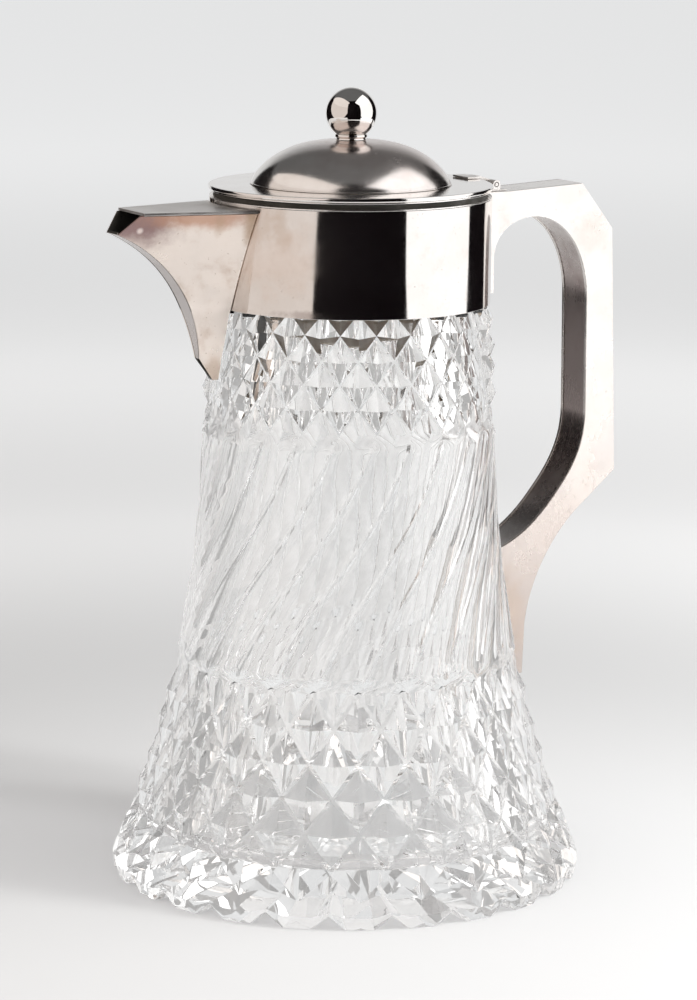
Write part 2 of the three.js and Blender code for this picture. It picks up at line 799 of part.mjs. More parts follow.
// Knob: a ball on a short foot with a bead, drawn down on the dome by a stud with a nut and washer
addPiece(lid, 'knob_foot', turnedRing([
  [studHole, knobFootBottom],
  [knobFootRadius, knobFootBottom],
  [knobRootRadius, knobFootBottom + knobFootHeight * 0.25],
  [knobBeadRadius, knobFootBottom + knobFootHeight * 0.45],
  [knobBeadRadius, knobFootTop - knobFootHeight * 0.2],
  [knobFootRadius, knobFootTop],
  [studHole, knobFootTop],
], smallSides), silver);

function knobBall() {
  const seatAngle = Math.asin(ballSeatRadius / ballRadius);
  const steps = 12;
  const profile = [[0, ballCentre - ballRadius + studBite], [studHole, ballCentre - ballRadius + studBite]];
  profile.push([studHole, knobFootTop + solderGap]);
  for (let i = 0; i <= steps; i += 1) {
    const angle = seatAngle + (Math.PI - seatAngle) * (i / steps);
    const r = i === steps ? 0 : ballRadius * Math.sin(angle);
    profile.push([r, ballCentre - ballRadius * Math.cos(angle)]);
  }
  return turned(profile, smallSides);
}

addPiece(lid, 'knob_ball', knobBall(), silver);

const domeUnder = domeTop - sheet;
const washerTop = domeUnder - roundFit;
const washerBottom = washerTop - washerThickness;
const nutTop = washerBottom - solderGap;
const nutBottom = nutTop - nutHeight;
const studTop = ballCentre - ballRadius + studBite - roundFit;
const studBottom = nutBottom - studTail;
addPiece(lid, 'knob_washer', turnedRing([
  [studHole, washerBottom],
  [washerRadius, washerBottom],
  [washerRadius, washerTop],
  [studHole, washerTop],
], smallSides), brass);

function hexNut() {
  const corner = nutAcrossFlats / 2 / Math.cos(Math.PI / 6);
  const hex = new THREE.CylinderGeometry(corner, corner, nutHeight, 6).rotateX(Math.PI / 2);
  const bore = new THREE.CylinderGeometry(studHole, studHole, nutHeight + 2, 16).rotateX(Math.PI / 2);
  const nut = toSolid(hex).subtract(toSolid(bore));
  return toGeometry(nut).translate(0, 0, (nutTop + nutBottom) / 2);
}

addPiece(lid, 'knob_nut', hexNut(), brass);
const stud = new THREE.CylinderGeometry(studRadius, studRadius, studTop - studBottom, 16);
addPiece(lid, 'knob_stud', stud.rotateX(Math.PI / 2).translate(0, 0, (studTop + studBottom) / 2), brass);

export default jug;
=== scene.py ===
from math import asin, atan2, cos, hypot, pi, radians, sin, sqrt

import bmesh
import bpy
from mathutils import Euler, Matrix, Vector


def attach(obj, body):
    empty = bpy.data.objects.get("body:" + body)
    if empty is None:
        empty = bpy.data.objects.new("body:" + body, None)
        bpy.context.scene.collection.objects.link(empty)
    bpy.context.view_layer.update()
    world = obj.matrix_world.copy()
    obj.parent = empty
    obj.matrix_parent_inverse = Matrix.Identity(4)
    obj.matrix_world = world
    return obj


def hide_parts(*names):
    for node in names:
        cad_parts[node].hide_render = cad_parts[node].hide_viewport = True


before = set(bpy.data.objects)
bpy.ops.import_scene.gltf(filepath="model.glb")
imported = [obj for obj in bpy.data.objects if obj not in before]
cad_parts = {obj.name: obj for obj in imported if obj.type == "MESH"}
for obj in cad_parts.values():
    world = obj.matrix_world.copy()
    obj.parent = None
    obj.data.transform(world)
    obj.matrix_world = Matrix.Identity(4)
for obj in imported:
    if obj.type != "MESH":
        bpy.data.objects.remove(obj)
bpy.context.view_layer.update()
scene = bpy.context.scene
scene.view_settings.view_transform = "Standard"
# Light goes back and forth in cut crystal many times before it comes out
scene.cycles.max_bounces = 28
scene.cycles.glossy_bounces = 20
scene.cycles.transmission_bounces = 24
scene.cycles.transparent_max_bounces = 16


# Camera
# A long lens, higher than the jug and tilted down at it, turned about it so that the handle points to
# the right and away. The distance and the tilt were fitted to the rim and the foot. CAMERA_PLACE is
# the place before that turn.
VIEW_TURN = radians(-29)
CAMERA_PLACE = (0.0002, -1.307, 0.3918)
CAMERA_DIP = radians(10.98)
CAMERA_ROLL = radians(0.5)
camera_data = bpy.data.cameras.new("camera")
camera_data.lens = 129.6
camera_data.sensor_width = 36
camera = bpy.data.objects.new("camera", camera_data)
scene.collection.objects.link(camera)
to_part = Matrix.Rotation(VIEW_TURN, 3, "Z")
camera.location = to_part @ Vector(CAMERA_PLACE)
tilt = Euler((radians(90) - CAMERA_DIP, 0, VIEW_TURN)).to_matrix()
camera.rotation_euler = (tilt @ Matrix.Rotation(CAMERA_ROLL, 3, "Z")).to_euler()
scene.camera = camera


# Table and surroundings
# A wide white table top in a pale room. The table keeps the jug's shadow. How white the table looks
# to the camera, in polished metal and through glass, is painted light and shade. How white the room
# looks comes from its own greys.
TABLE_RADIUS = 14.0
TABLE_DROP = -0.0001

table_mesh = bmesh.new()
bmesh.ops.create_circle(table_mesh, cap_ends=True, segments=96, radius=TABLE_RADIUS)
bmesh.ops.translate(table_mesh, verts=table_mesh.verts, vec=(0, 0, TABLE_DROP))
table_data = bpy.data.meshes.new("table_top")
table_mesh.to_mesh(table_data)
table_mesh.free()
table = bpy.data.objects.new("table_top", table_data)
scene.collection.objects.link(table)


def new_material(name):
    """A material with an empty node tree but for its output."""
    material = bpy.data.materials.new(name)
    material.use_nodes = True
    nodes = material.node_tree.nodes
    nodes.clear()
    output = nodes.new("ShaderNodeOutputMaterial")
    return material, nodes, material.node_tree.links, output


def seen_by_camera(nodes, links):
    """1 for what the camera sees, also in polished metal and through glass."""
    ray = nodes.new("ShaderNodeLightPath")
    total = ray.outputs["Is Camera Ray"]
    for name in ("Is Glossy Ray", "Is Transmission Ray"):
        add = nodes.new("ShaderNodeMath")
        add.operation = "ADD"
        add.use_clamp = True
        links.new(total, add.inputs[0])
        links.new(ray.outputs[name], add.inputs[1])
        total = add.outputs["Value"]
    return total


def grey_ramp(nodes, links, value, stops):
    """A smooth row of greys over a value from 0 to 1. The greys are very slightly cool."""
    shade = nodes.new("ShaderNodeValToRGB")
    shade.color_ramp.interpolation = "EASE"
    for index, (place, grey) in enumerate(stops):
        if index < 2:
            stop = shade.color_ramp.elements[index]
            stop.position = place
        else:
            stop = shade.color_ramp.elements.new(place)
        stop.color = (grey * 0.995, grey * 0.998, grey, 1)
    links.new(value, shade.inputs["Fac"])
    return shade.outputs["Color"]


# How white the table looks at each distance from a place in front of the jug: painted light and shade
TABLE_WHITE = ((0.0, 0.545), (0.17, 0.545), (0.42, 0.48), (0.8, 0.73), (1.4, 1.06), (3.0, 1.44))
TABLE_WHITE_REACH = 3.0
TABLE_WHITE_CENTRE = (-0.06, -0.105, 0)
# Seen through the crystal, the table is mixed with this share of one even grey
EVEN_SHARE = 0.28
EVEN_GREY = (0.64, 0.63, 0.62, 1)

white_top, nodes, links, output = new_material("white_table_top")
lit = nodes.new("ShaderNodeBsdfDiffuse")
lit.inputs["Color"].default_value = (0.82, 0.82, 0.82, 1)
seen = nodes.new("ShaderNodeBsdfDiffuse")
place = nodes.new("ShaderNodeTexCoord")
from_centre = nodes.new("ShaderNodeVectorMath")
from_centre.operation = "DISTANCE"
from_centre.inputs[1].default_value = TABLE_WHITE_CENTRE
far = nodes.new("ShaderNodeMapRange")
far.inputs["From Max"].default_value = TABLE_WHITE_REACH
links.new(place.outputs["Object"], from_centre.inputs[0])
links.new(from_centre.outputs["Value"], far.inputs["Value"])
whites = [(distance / TABLE_WHITE_REACH, white) for distance, white in TABLE_WHITE]
shade = grey_ramp(nodes, links, far.outputs["Result"], whites)
ray = nodes.new("ShaderNodeLightPath")
even_share = nodes.new("ShaderNodeMath")
even_share.operation = "MULTIPLY"
even_share.inputs[1].default_value = EVEN_SHARE
through = nodes.new("ShaderNodeMix")
through.data_type = "RGBA"
through.inputs[7].default_value = EVEN_GREY
links.new(ray.outputs["Is Transmission Ray"], even_share.inputs[0])
links.new(even_share.outputs["Value"], through.inputs["Factor"])
links.new(shade, through.inputs[6])
links.new(through.outputs[2], seen.inputs["Color"])
which = nodes.new("ShaderNodeMixShader")
links.new(seen_by_camera(nodes, links), which.inputs["Fac"])
links.new(lit.outputs["BSDF"], which.inputs[1])
links.new(seen.outputs["BSDF"], which.inputs[2])
links.new(which.outputs["Shader"], output.inputs["Surface"])
table_data.materials.append(white_top)

# A white sheet hangs behind the jug. To its sides, overhead and beyond the lamps the room is unlit,
# which only polished metal and glass show.
CAMERA_SIDE = radians(-90) + VIEW_TURN
SHEET_EDGE = radians(36)
SHEET_FADE = 0.06
BACKDROP = (0.775, 0.78, 0.785, 1)
ROOM_GREYS = ((0.25, 0.80), (0.85, 0.42))
SHEET_GREYS = ((0, 0.80), (0.22, 0.72), (0.45, 0.38), (0.65, 0.2), (0.9, 0.14))
SIDE_GREYS = ((0, 0.16), (0.5, 0.12), (0.9, 0.14))
STRAY_GREYS = ((0.2, 0.80), (0.9, 0.66))
STRAY_SHARE = 0.9
world = bpy.data.worlds.new("pale_room")
scene.world = world
world.use_nodes = True
nodes, links = world.node_tree.nodes, world.node_tree.links
nodes.clear()
world_output = nodes.new("ShaderNodeOutputWorld")
room = nodes.new("ShaderNodeBackground")
backdrop = nodes.new("ShaderNodeBackground")
backdrop.inputs["Color"].default_value = BACKDROP
reflected = nodes.new("ShaderNodeBackground")
direction = nodes.new("ShaderNodeTexCoord").outputs["Generated"]
height = nodes.new("ShaderNodeSeparateXYZ")
links.new(direction, height.inputs["Vector"])
pale = grey_ramp(nodes, links, height.outputs["Z"], ROOM_GREYS)
links.new(pale, room.inputs["Color"])
sheet = grey_ramp(nodes, links, height.outputs["Z"], SHEET_GREYS)
sides = grey_ramp(nodes, links, height.outputs["Z"], SIDE_GREYS)
behind = nodes.new("ShaderNodeVectorMath")
behind.operation = "DOT_PRODUCT"
behind.inputs[1].default_value = (-cos(CAMERA_SIDE), -sin(CAMERA_SIDE), 0)
links.new(direction, behind.inputs[0])
on_sheet = nodes.new("ShaderNodeMapRange")
on_sheet.interpolation_type = "SMOOTHSTEP"
on_sheet.inputs["From Min"].default_value = cos(SHEET_EDGE) - SHEET_FADE
on_sheet.inputs["From Max"].default_value = cos(SHEET_EDGE) + SHEET_FADE
links.new(behind.outputs["Value"], on_sheet.inputs["Value"])
blend = nodes.new("ShaderNodeMix")
blend.data_type = "RGBA"
links.new(on_sheet.outputs["Result"], blend.inputs["Factor"])
links.new(sides, blend.inputs[6])
links.new(sheet, blend.inputs[7])
# Cut crystal gathers light from all of the room, so most of what it sees is stray light
ray = nodes.new("ShaderNodeLightPath")
stray = nodes.new("ShaderNodeMath")
stray.operation = "MULTIPLY"
stray.inputs[1].default_value = STRAY_SHARE
links.new(ray.outputs["Is Transmission Ray"], stray.inputs[0])
lifted = nodes.new("ShaderNodeMix")
lifted.data_type = "RGBA"
links.new(stray.outputs["Value"], lifted.inputs["Factor"])
links.new(blend.outputs[2], lifted.inputs[6])
links.new(grey_ramp(nodes, links, height.outputs["Z"], STRAY_GREYS), lifted.inputs[7])
links.new(lifted.outputs[2], reflected.inputs["Color"])
in_glass = nodes.new("ShaderNodeMixShader")
links.new(seen_by_camera(nodes, links), in_glass.inputs["Fac"])
links.new(room.outputs["Background"], in_glass.inputs[1])
links.new(reflected.outputs["Background"], in_glass.inputs[2])
which = nodes.new("ShaderNodeMixShader")
links.new(ray.outputs["Is Camera Ray"], which.inputs["Fac"])
links.new(in_glass.outputs["Shader"], which.inputs[1])
links.new(backdrop.outputs["Background"], which.inputs[2])
links.new(which.outputs["Shader"], world_output.inputs["Surface"])


# Lamps
# Two soft boxes that lean over the jug, a strong one to the right and a weaker, warmer one to the
# left, and a small lamp on the right for the shadow. Unlit cloths stand in front, where metal shows
# its dark band, and behind the lamps.
def soft_box(name, azimuth, low_distance, high_distance, width, tall, glow, colour):
    """A leaning area lamp that faces the jug. glow is how bright its face looks."""
    lamp = bpy.data.lights.new(name, "AREA")
    lamp.shape = "RECTANGLE"
    lamp.size = width
    lean = asin((low_distance - high_distance) / tall)
    lamp.size_y = tall
    lamp.energy = glow * pi * width * tall
    lamp.color = colour
    holder = bpy.data.objects.new(name, lamp)
    scene.collection.objects.link(holder)
    distance = (low_distance + high_distance) / 2
    holder.location = (distance * cos(azimuth), distance * sin(azimuth), 0.01 + tall / 2 * cos(lean))
    holder.rotation_euler = (radians(90) - lean, 0, azimuth + radians(90))
    holder.visible_camera = False


soft_box("right_soft_box", CAMERA_SIDE + radians(77), low_distance=0.85, high_distance=0.37,
         width=1.02, tall=1.12, glow=1.3, colour=(1, 0.99, 0.985))
soft_box("left_soft_box", CAMERA_SIDE - radians(60), low_distance=0.85, high_distance=0.40,
         width=1.90, tall=1.08, glow=0.80, colour=(1, 0.91, 0.85))

KEY_AZIMUTH = CAMERA_SIDE + radians(78)
KEY_HEIGHT = radians(40)
KEY_DISTANCE = 1.25
KEY_SIZE = 0.3
KEY_POWER = 16
key_data = bpy.data.lights.new("key_lamp", "AREA")
key_data.shape = "DISK"
key_data.size = KEY_SIZE
key_data.energy = KEY_POWER
key = bpy.data.objects.new("key_lamp", key_data)
scene.collection.objects.link(key)
away = KEY_DISTANCE * cos(KEY_HEIGHT)
key.location = (away * cos(KEY_AZIMUTH), away * sin(KEY_AZIMUTH), KEY_DISTANCE * sin(KEY_HEIGHT))
key.rotation_euler = (radians(90) - KEY_HEIGHT, 0, KEY_AZIMUTH + radians(90))
key.visible_camera = False
key.visible_glossy = False
key.visible_transmission = False

# Polished metal sees the cloths black. The crystal sees them grey, with the stray light on them.
unlit, nodes, links, output = new_material("unlit_cloth")
cloth = nodes.new("ShaderNodeBsdfDiffuse")
cloth.inputs["Color"].default_value = (0.004, 0.003, 0.0035, 1)
in_crystal = nodes.new("ShaderNodeEmission")
in_crystal.inputs["Color"].default_value = (0.42, 0.415, 0.41, 1)
ray = nodes.new("ShaderNodeLightPath")
which = nodes.new("ShaderNodeMixShader")
links.new(ray.outputs["Is Transmission Ray"], which.inputs["Fac"])
links.new(cloth.outputs["BSDF"], which.inputs[1])
links.new(in_crystal.outputs["Emission"], which.inputs[2])
links.new(which.outputs["Shader"], output.inputs["Surface"])


def unlit_cloth(name, start, sweep, distance, tall, through_glass):
    """A dark upright cloth about the jug, from one angle from the camera's side over a sweep."""
    bm = bmesh.new()
    corner = Vector((distance * cos(CAMERA_SIDE + start), distance * sin(CAMERA_SIDE + start), 0.001))
    low = bm.verts.new(corner)
    high = bm.verts.new(corner + Vector((0, 0, tall)))
    edge = bm.edges.new((low, high))
    bmesh.ops.spin(bm, geom=[low, high, edge], axis=(0, 0, 1), cent=(0, 0, 0), dvec=(0, 0, 0),
                   angle=sweep, steps=24, use_merge=False)
    data = bpy.data.meshes.new(name)
    bm.to_mesh(data)
    bm.free()
    data.materials.append(unlit)
    cloth = bpy.data.objects.new(name, data)
    scene.collection.objects.link(cloth)
    cloth.visible_camera = False
    cloth.visible_diffuse = False
    cloth.visible_shadow = False
    cloth.visible_transmission = through_glass


unlit_cloth("front_cloth", start=radians(-17.6), sweep=radians(61.6), distance=0.62, tall=1.3,
            through_glass=False)
unlit_cloth("right_cloth", start=radians(40), sweep=radians(110), distance=0.95, tall=0.8,
            through_glass=True)
unlit_cloth("left_cloth", start=radians(-150), sweep=radians(135), distance=0.95, tall=0.8,
            through_glass=True)


# Crystal body
# One thick blown blank, ground and cut on the wheel: two bands of diamonds with twisted flutes
# between them, a scalloped line over a plain edge, and a star of V grooves under the foot. TWIST is
# how far the flutes turn over their height, most of it in the middle. It and CUT_PHASE, where the
# first cut lies, are in degrees.
CUTS = 24
CUT_PHASE = 12.3
TWIST_CUTS = 3.5
TWIST = TWIST_CUTS * 360 / CUTS
TWIST_EASE = 0.04
SHOULDER = 0.2122
NECK_TOP = 0.2362
NECK_RADIUS = 0.0467
NECK_BORE = 0.0398
UPPER_ROWS = [0.2059, 0.1973, 0.1887, 0.1801, 0.1715]
LOWER_ROWS = [0.07905, 0.067, 0.05495, 0.0429, 0.03085, 0.0188]
UPPER_CUT = 0.0037
LOWER_CUT = 0.0032
FLUTE_CUT = 0.0013
FLUTE_RUNOUT = 0.0065
FLUTE_PARTS = 12
FLUTE_STEPS = 120
FLUTE_FULLNESS = 0.6
FLUTE_RIPPLE = 0.00003
UPPER_FLAT = 0.0004
LOWER_FLAT = 0.0007
RIDGE_FLAT = 0.0005
SCALLOP_HEIGHT = 0.0125
SCALLOP_DIP = 0.0028
SCALLOP_ARCH = 0.0007
SCALLOP_INSET = 0.0002
PLAIN_EDGE = 0.0072
EDGE_TOP = 0.005
FOOT_RADIUS = 0.0874
EDGE_INSET = 0.0008
WAIST_RADIUS = 0.0543
WAIST_HEIGHT = 0.17
SHOULDER_RADIUS = 0.052
STAR_INNER = 0.028
STAR_NOTCH = 0.0052
STAR_NOTCH_WIDTH = 0.0124
STAR_GROOVE_END = 0.0002


def body_radius(z):
    """Radius over the points of the cut pattern."""
    if z < EDGE_TOP:
        return FOOT_RADIUS - EDGE_INSET * (1 - z / EDGE_TOP) ** 2
    if z < WAIST_HEIGHT:
        down = (WAIST_HEIGHT - z) / (WAIST_HEIGHT - EDGE_TOP)
        return WAIST_RADIUS + (FOOT_RADIUS - WAIST_RADIUS) * down ** 2
    up = (z - WAIST_HEIGHT) / (SHOULDER - WAIST_HEIGHT)
    return WAIST_RADIUS + (SHOULDER_RADIUS - WAIST_RADIUS) * up ** 2


def on_ring(radius, z, phase, column, count):
    """The place of one of a ring's evenly spaced points. phase turns the first of them."""
    angle = radians(phase + column * 360 / count)
    return Vector((radius * cos(angle), radius * sin(angle), z))


def first_ring(bm, count, place):
    """A closed ring of edges, whose points go where place(column) says."""
    points = bmesh.ops.create_circle(bm, segments=count, radius=1)["verts"]
    for column, point in enumerate(points):
        point.co = place(column)
    edges = [bm.edges.get((points[i], points[(i + 1) % count])) for i in range(count)]
    return points, edges


def next_ring(bm, ring, place):
    """Extrudes a ring, and puts the new points where place(column) says."""
    points, edges = ring
    old_places = [point.co.copy() for point in points]
    made = bmesh.ops.extrude_edge_only(bm, edges=edges)["geom"]
    fresh = {}
    for item in made:
        if isinstance(item, bmesh.types.BMVert):
            fresh[tuple(round(value, 7) for value in item.co)] = item
    points = [fresh[tuple(round(value, 7) for value in place_of)] for place_of in old_places]
    for column, point in enumerate(points):
        point.co = place(column)
    count = len(points)
    edges = [bm.edges.get((points[i], points[(i + 1) % count])) for i in range(count)]
    return points, edges


def crease_quads(bm, above, below, crossing):
    """Splits the four-sided faces between two rings of diamonds along their grooves.

    crossing is 0 or 1, for the columns at which grooves cross on the ring above.
    """
    count = len(above)
    for column in range(count):
        after = (column + 1) % count
        if column % 2 == crossing:
            pair = (above[column], below[after])
        else:
            pair = (above[after], below[column])
        bmesh.ops.connect_verts(bm, verts=pair)


def diamond_band(bm, rows, phase, depth, open_edge_depth, open_at_top):
    """Rings of alternate groove crossings and points. The ring at the open side meets the flutes."""
    count = CUTS * 2

    def place_for(index):
        z = rows[index]
        at_flutes = index == 0 if open_at_top else index == len(rows) - 1
        crossing = index % 2

        def place(column):
            if column % 2 == crossing:
                cut = depth
            else:
                cut = open_edge_depth if at_flutes else 0
            return on_ring(body_radius(z) - cut, z, phase, column, count)
        return place

    ring = first_ring(bm, count, place_for(0))
    rings = [ring]
    for index in range(1, len(rows)):
        above = ring[0]
        ring = next_ring(bm, ring, place_for(index))
        crease_quads(bm, above, ring[0], (index - 1) % 2)
        rings.append(ring)
    return rings


MERGE = 1e-7


def finish_piece(bm, name, body, slot_name, material, sharp_angle=30):
    """Makes the finished object of a mesh, smooth but for the edges sharper than the angle given."""
    bmesh.ops.remove_doubles(bm, verts=bm.verts, dist=MERGE)
    bmesh.ops.recalc_face_normals(bm, faces=bm.faces)
    for face in bm.faces:
        face.smooth = True
    for edge in bm.edges:
        edge.smooth = len(edge.link_faces) == 2 and edge.calc_face_angle(0) < radians(sharp_angle)
    data = bpy.data.meshes.new(name)
    bm.to_mesh(data)
    bm.free()
    data.materials.append(material)
    piece = bpy.data.objects.new(name, data)
    scene.collection.objects.link(piece)
    # The flat facets of the crystal keep their own normals
    if slot_name != "crystal":
        even = piece.modifiers.new("even_normals", "WEIGHTED_NORMAL")
        even.keep_sharp = True
    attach(piece, body)
    return piece


def turn_profile(bm, profile, steps):
    """A solid of revolution about Z from (radius, height) points."""
    points = [bm.verts.new((r, 0, z)) for r, z in profile]
    edges = [bm.edges.new(pair) for pair in zip(points, points[1:])]
    bmesh.ops.spin(bm, geom=points + edges, axis=(0, 0, 1), cent=(0, 0, 0), dvec=(0, 0, 0),
                   angle=2 * pi, steps=steps, use_merge=True)


crystal_mesh = bmesh.new()
count = CUTS * 2
upper = diamond_band(crystal_mesh, UPPER_ROWS, CUT_PHASE, UPPER_CUT, FLUTE_CUT, False)
lower = diamond_band(crystal_mesh, LOWER_ROWS, CUT_PHASE - TWIST, LOWER_CUT, FLUTE_CUT, True)

# The upper band is cut off under the collar, part of the way to a next row. The neck is turned.
shoulder_share = (SHOULDER - UPPER_ROWS[0]) / (UPPER_ROWS[0] - UPPER_ROWS[1])
shoulder_radius = body_radius(SHOULDER)


def on_shoulder(column):
    """A corner of the cut-off diamonds. Every other corner is where a groove is cut off."""
    whole, between = divmod(column, 2)
    if between:
        along = whole + (shoulder_share if whole % 2 == 0 else 1 - shoulder_share)
        return on_ring(shoulder_radius - UPPER_CUT, SHOULDER, CUT_PHASE, along, count)
    cut = UPPER_CUT * ((1 - shoulder_share) if whole % 2 == 0 else shoulder_share)
    return on_ring(shoulder_radius - cut, SHOULDER, CUT_PHASE, whole, count)


shoulder = first_ring(crystal_mesh, 2 * count, on_shoulder)
for column in range(count):
    after = (column + 1) % count
    low, low_after = upper[0][0][column], upper[0][0][after]
    high, middle, high_after = shoulder[0][2 * column], shoulder[0][2 * column + 1], shoulder[0][2 * after]
    if column % 2 == 0:
        crystal_mesh.faces.new((low, low_after, high_after, middle))
        crystal_mesh.faces.new((low, middle, high))
    else:
        crystal_mesh.faces.new((low, low_after, middle, high))
        crystal_mesh.faces.new((low_after, high_after, middle))
neck = next_ring(crystal_mesh, shoulder, lambda column: on_ring(
    NECK_RADIUS, SHOULDER, CUT_PHASE, column, 2 * count))
for radius in (NECK_RADIUS, NECK_BORE):
    neck = next_ring(crystal_mesh, neck, lambda column, radius=radius: on_ring(
        radius, NECK_TOP, CUT_PHASE, column, 2 * count))

# The scalloped line over the plain edge
low_phase = CUT_PHASE - TWIST
scallop_low = SCALLOP_HEIGHT - SCALLOP_DIP


def on_scallop(column):
    """A corner of the scalloped line, which dips to a cusp between each two notches."""
    z = SCALLOP_HEIGHT if column % 2 else scallop_low
    return on_ring(body_radius(z) - SCALLOP_INSET, z, low_phase, column, count)


def on_arches(column):
    """A corner of the scalloped line, or the crown of the small arch between two corners."""
    corner, between = divmod(column, 2)
    if not between:
        return on_scallop(corner)
    return on_scallop(corner).lerp(on_scallop(corner + 1), 0.5) + Vector((0, 0, SCALLOP_ARCH))


scallop = next_ring(crystal_mesh, lower[-1], on_scallop)
crease_quads(crystal_mesh, lower[-1][0], scallop[0], 1)

# The open rings get the finer spacing of the flutes and of the notched edge
halves = bmesh.ops.subdivide_edges(crystal_mesh, edges=scallop[1], cuts=1)["geom_inner"]
for point in halves:
    if isinstance(point, bmesh.types.BMVert):
        point.co.z += SCALLOP_ARCH
flute_top = UPPER_ROWS[-1]
flute_bottom = LOWER_ROWS[0]
open_rings = [edge for edge in crystal_mesh.edges if edge.is_boundary and any(
    all(abs(point.co.z - z) < 1e-6 for point in edge.verts) for z in (flute_top, flute_bottom))]
bmesh.ops.subdivide_edges(crystal_mesh, edges=open_rings, cuts=FLUTE_PARTS // 2 - 1)

# The plain edge, the notched foot and the star under it. Four columns to a cut: the middle of a flat,
# the side of a notch, the notch, and its other side. Each ring has a height on its flats and one in
# its notches.
EDGE_RINGS = ((PLAIN_EDGE, PLAIN_EDGE), (0.0046, 0.0063), (0.002, 0.0056), (0, STAR_NOTCH))
edge_columns = CUTS * 4
notch_side = STAR_NOTCH_WIDTH / 2


def on_foot(radius, flat_z, notch_z, side_reach):
    """Places a ring of the foot. Where radius is None, the ring follows the outside of the body.

    side_reach is how far a notch's sides are from its middle.
    """
    def place(column):
        cut, part = divmod(column, 4)
        middle = low_phase + (cut + 0.5) * 360 / CUTS
        at = radius if radius else body_radius(notch_z if part == 2 else flat_z)
        if part == 0:
            angle = radians(low_phase + cut * 360 / CUTS)
        else:
            angle = radians(middle) + (part - 2) * side_reach / at
        return Vector((at * cos(angle), at * sin(angle), notch_z if part == 2 else flat_z))
    return place


ring = first_ring(crystal_mesh, edge_columns, on_arches)
for flat_z, notch_z in EDGE_RINGS:
    ring = next_ring(crystal_mesh, ring, on_foot(None, flat_z, notch_z, notch_side))
ring = next_ring(crystal_mesh, ring, on_foot(STAR_INNER, 0, 0, STAR_GROOVE_END))
crystal_mesh.faces.new(ring[0])

# The flutes: a finer ring, so that each is a smooth hollow between two ridges, with the slight
# ripples that the wheel left across it. A ripple is its size, and how fast it runs with the height,
# from flute to flute and across one.
RIPPLES = ((1, 430, 2.4, 3), (0.5, 980, 4.1, -4))
fine = CUTS * FLUTE_PARTS


def straight_edge(depth, z, phase):
    """The fine ring on the straight edges of a diamond band's last ring."""
    half = FLUTE_PARTS // 2

    def place(column):
        start = column // half
        along = (column % half) / half
        cuts = [depth if (start + i) % 2 == 0 else FLUTE_CUT for i in (0, 1)]
        ends = [on_ring(body_radius(z) - cuts[i], z, phase, start + i, count) for i in (0, 1)]
        return ends[0].lerp(ends[1], along)
    return place


def flute_ring(z):
    """The fine ring across the flutes. Near their ends it runs out into the diamonds."""
    along = (flute_top - z) / (flute_top - flute_bottom)
    phase = CUT_PHASE - TWIST * (along - TWIST_EASE * sin(2 * pi * along))
    from_end, end_depth = min((flute_top - z, UPPER_CUT), (z - flute_bottom, LOWER_CUT))
    out = min(1, from_end / FLUTE_RUNOUT)
    eased = out * out * (3 - 2 * out)

    def place(column):
        flute, part = divmod(column, FLUTE_PARTS)
        share = part / FLUTE_PARTS
        bowl = (4 * share * (1 - share)) ** FLUTE_FULLNESS
        wave = sum(size * sin(z * rise + flute * shift + share * slant)
                   for size, rise, shift, slant in RIPPLES)
        hollow = FLUTE_CUT * bowl + FLUTE_RIPPLE * wave * bowl
        ends = end_depth + (FLUTE_CUT - end_depth) * (1 - abs(2 * share - 1))
        cut = ends + (hollow - ends) * eased
        return on_ring(body_radius(z) - cut, z, phase, column, fine)
    return place


ring = first_ring(crystal_mesh, fine, straight_edge(UPPER_CUT, flute_top, CUT_PHASE))
for step in range(1, FLUTE_STEPS):
    z = flute_top + (flute_bottom - flute_top) * step / FLUTE_STEPS
    ring = next_ring(crystal_mesh, ring, flute_ring(z))
next_ring(crystal_mesh, ring, straight_edge(LOWER_CUT, flute_bottom, CUT_PHASE - TWIST))

# The inside, smooth but for the faint waves of blown glass. Its wall thins towards the waist. A wave
# is how often it runs round, how fast it runs with the height, and where it starts.
FLOOR = 0.014
FLOOR_CORNER = 0.009
WALL_AT_FOOT = 0.0095
WALL_THINNING = 0.002
INSIDE_WAVE = 0.00003
INSIDE_WAVES = ((7, 150, 0), (5, -230, 1.3))
INSIDE_STEPS = 40
CORNER_STEPS = 8


def inside_radius(z):
    """Radius of the blown inside, which the cutting doesn't follow."""
    wall = WALL_AT_FOOT - WALL_THINNING * min(1, z / WAIST_HEIGHT)
    blend = max(0, min(1, (z - WAIST_HEIGHT) / (SHOULDER - WAIST_HEIGHT)))
    return (body_radius(min(z, SHOULDER)) - wall) * (1 - blend) + NECK_BORE * blend


inside = [(NECK_BORE, NECK_TOP)]
corner_height = FLOOR + FLOOR_CORNER
for step in range(INSIDE_STEPS + 1):
    z = SHOULDER + (corner_height - SHOULDER) * step / INSIDE_STEPS
    inside.append((inside_radius(z), z))
for step in range(1, CORNER_STEPS + 1):
    angle = radians(90 * (1 - step / CORNER_STEPS))
    inside.append((inside_radius(corner_height) - FLOOR_CORNER * (1 - sin(angle)),
                   corner_height - FLOOR_CORNER * cos(angle)))
inside.append((0, FLOOR))

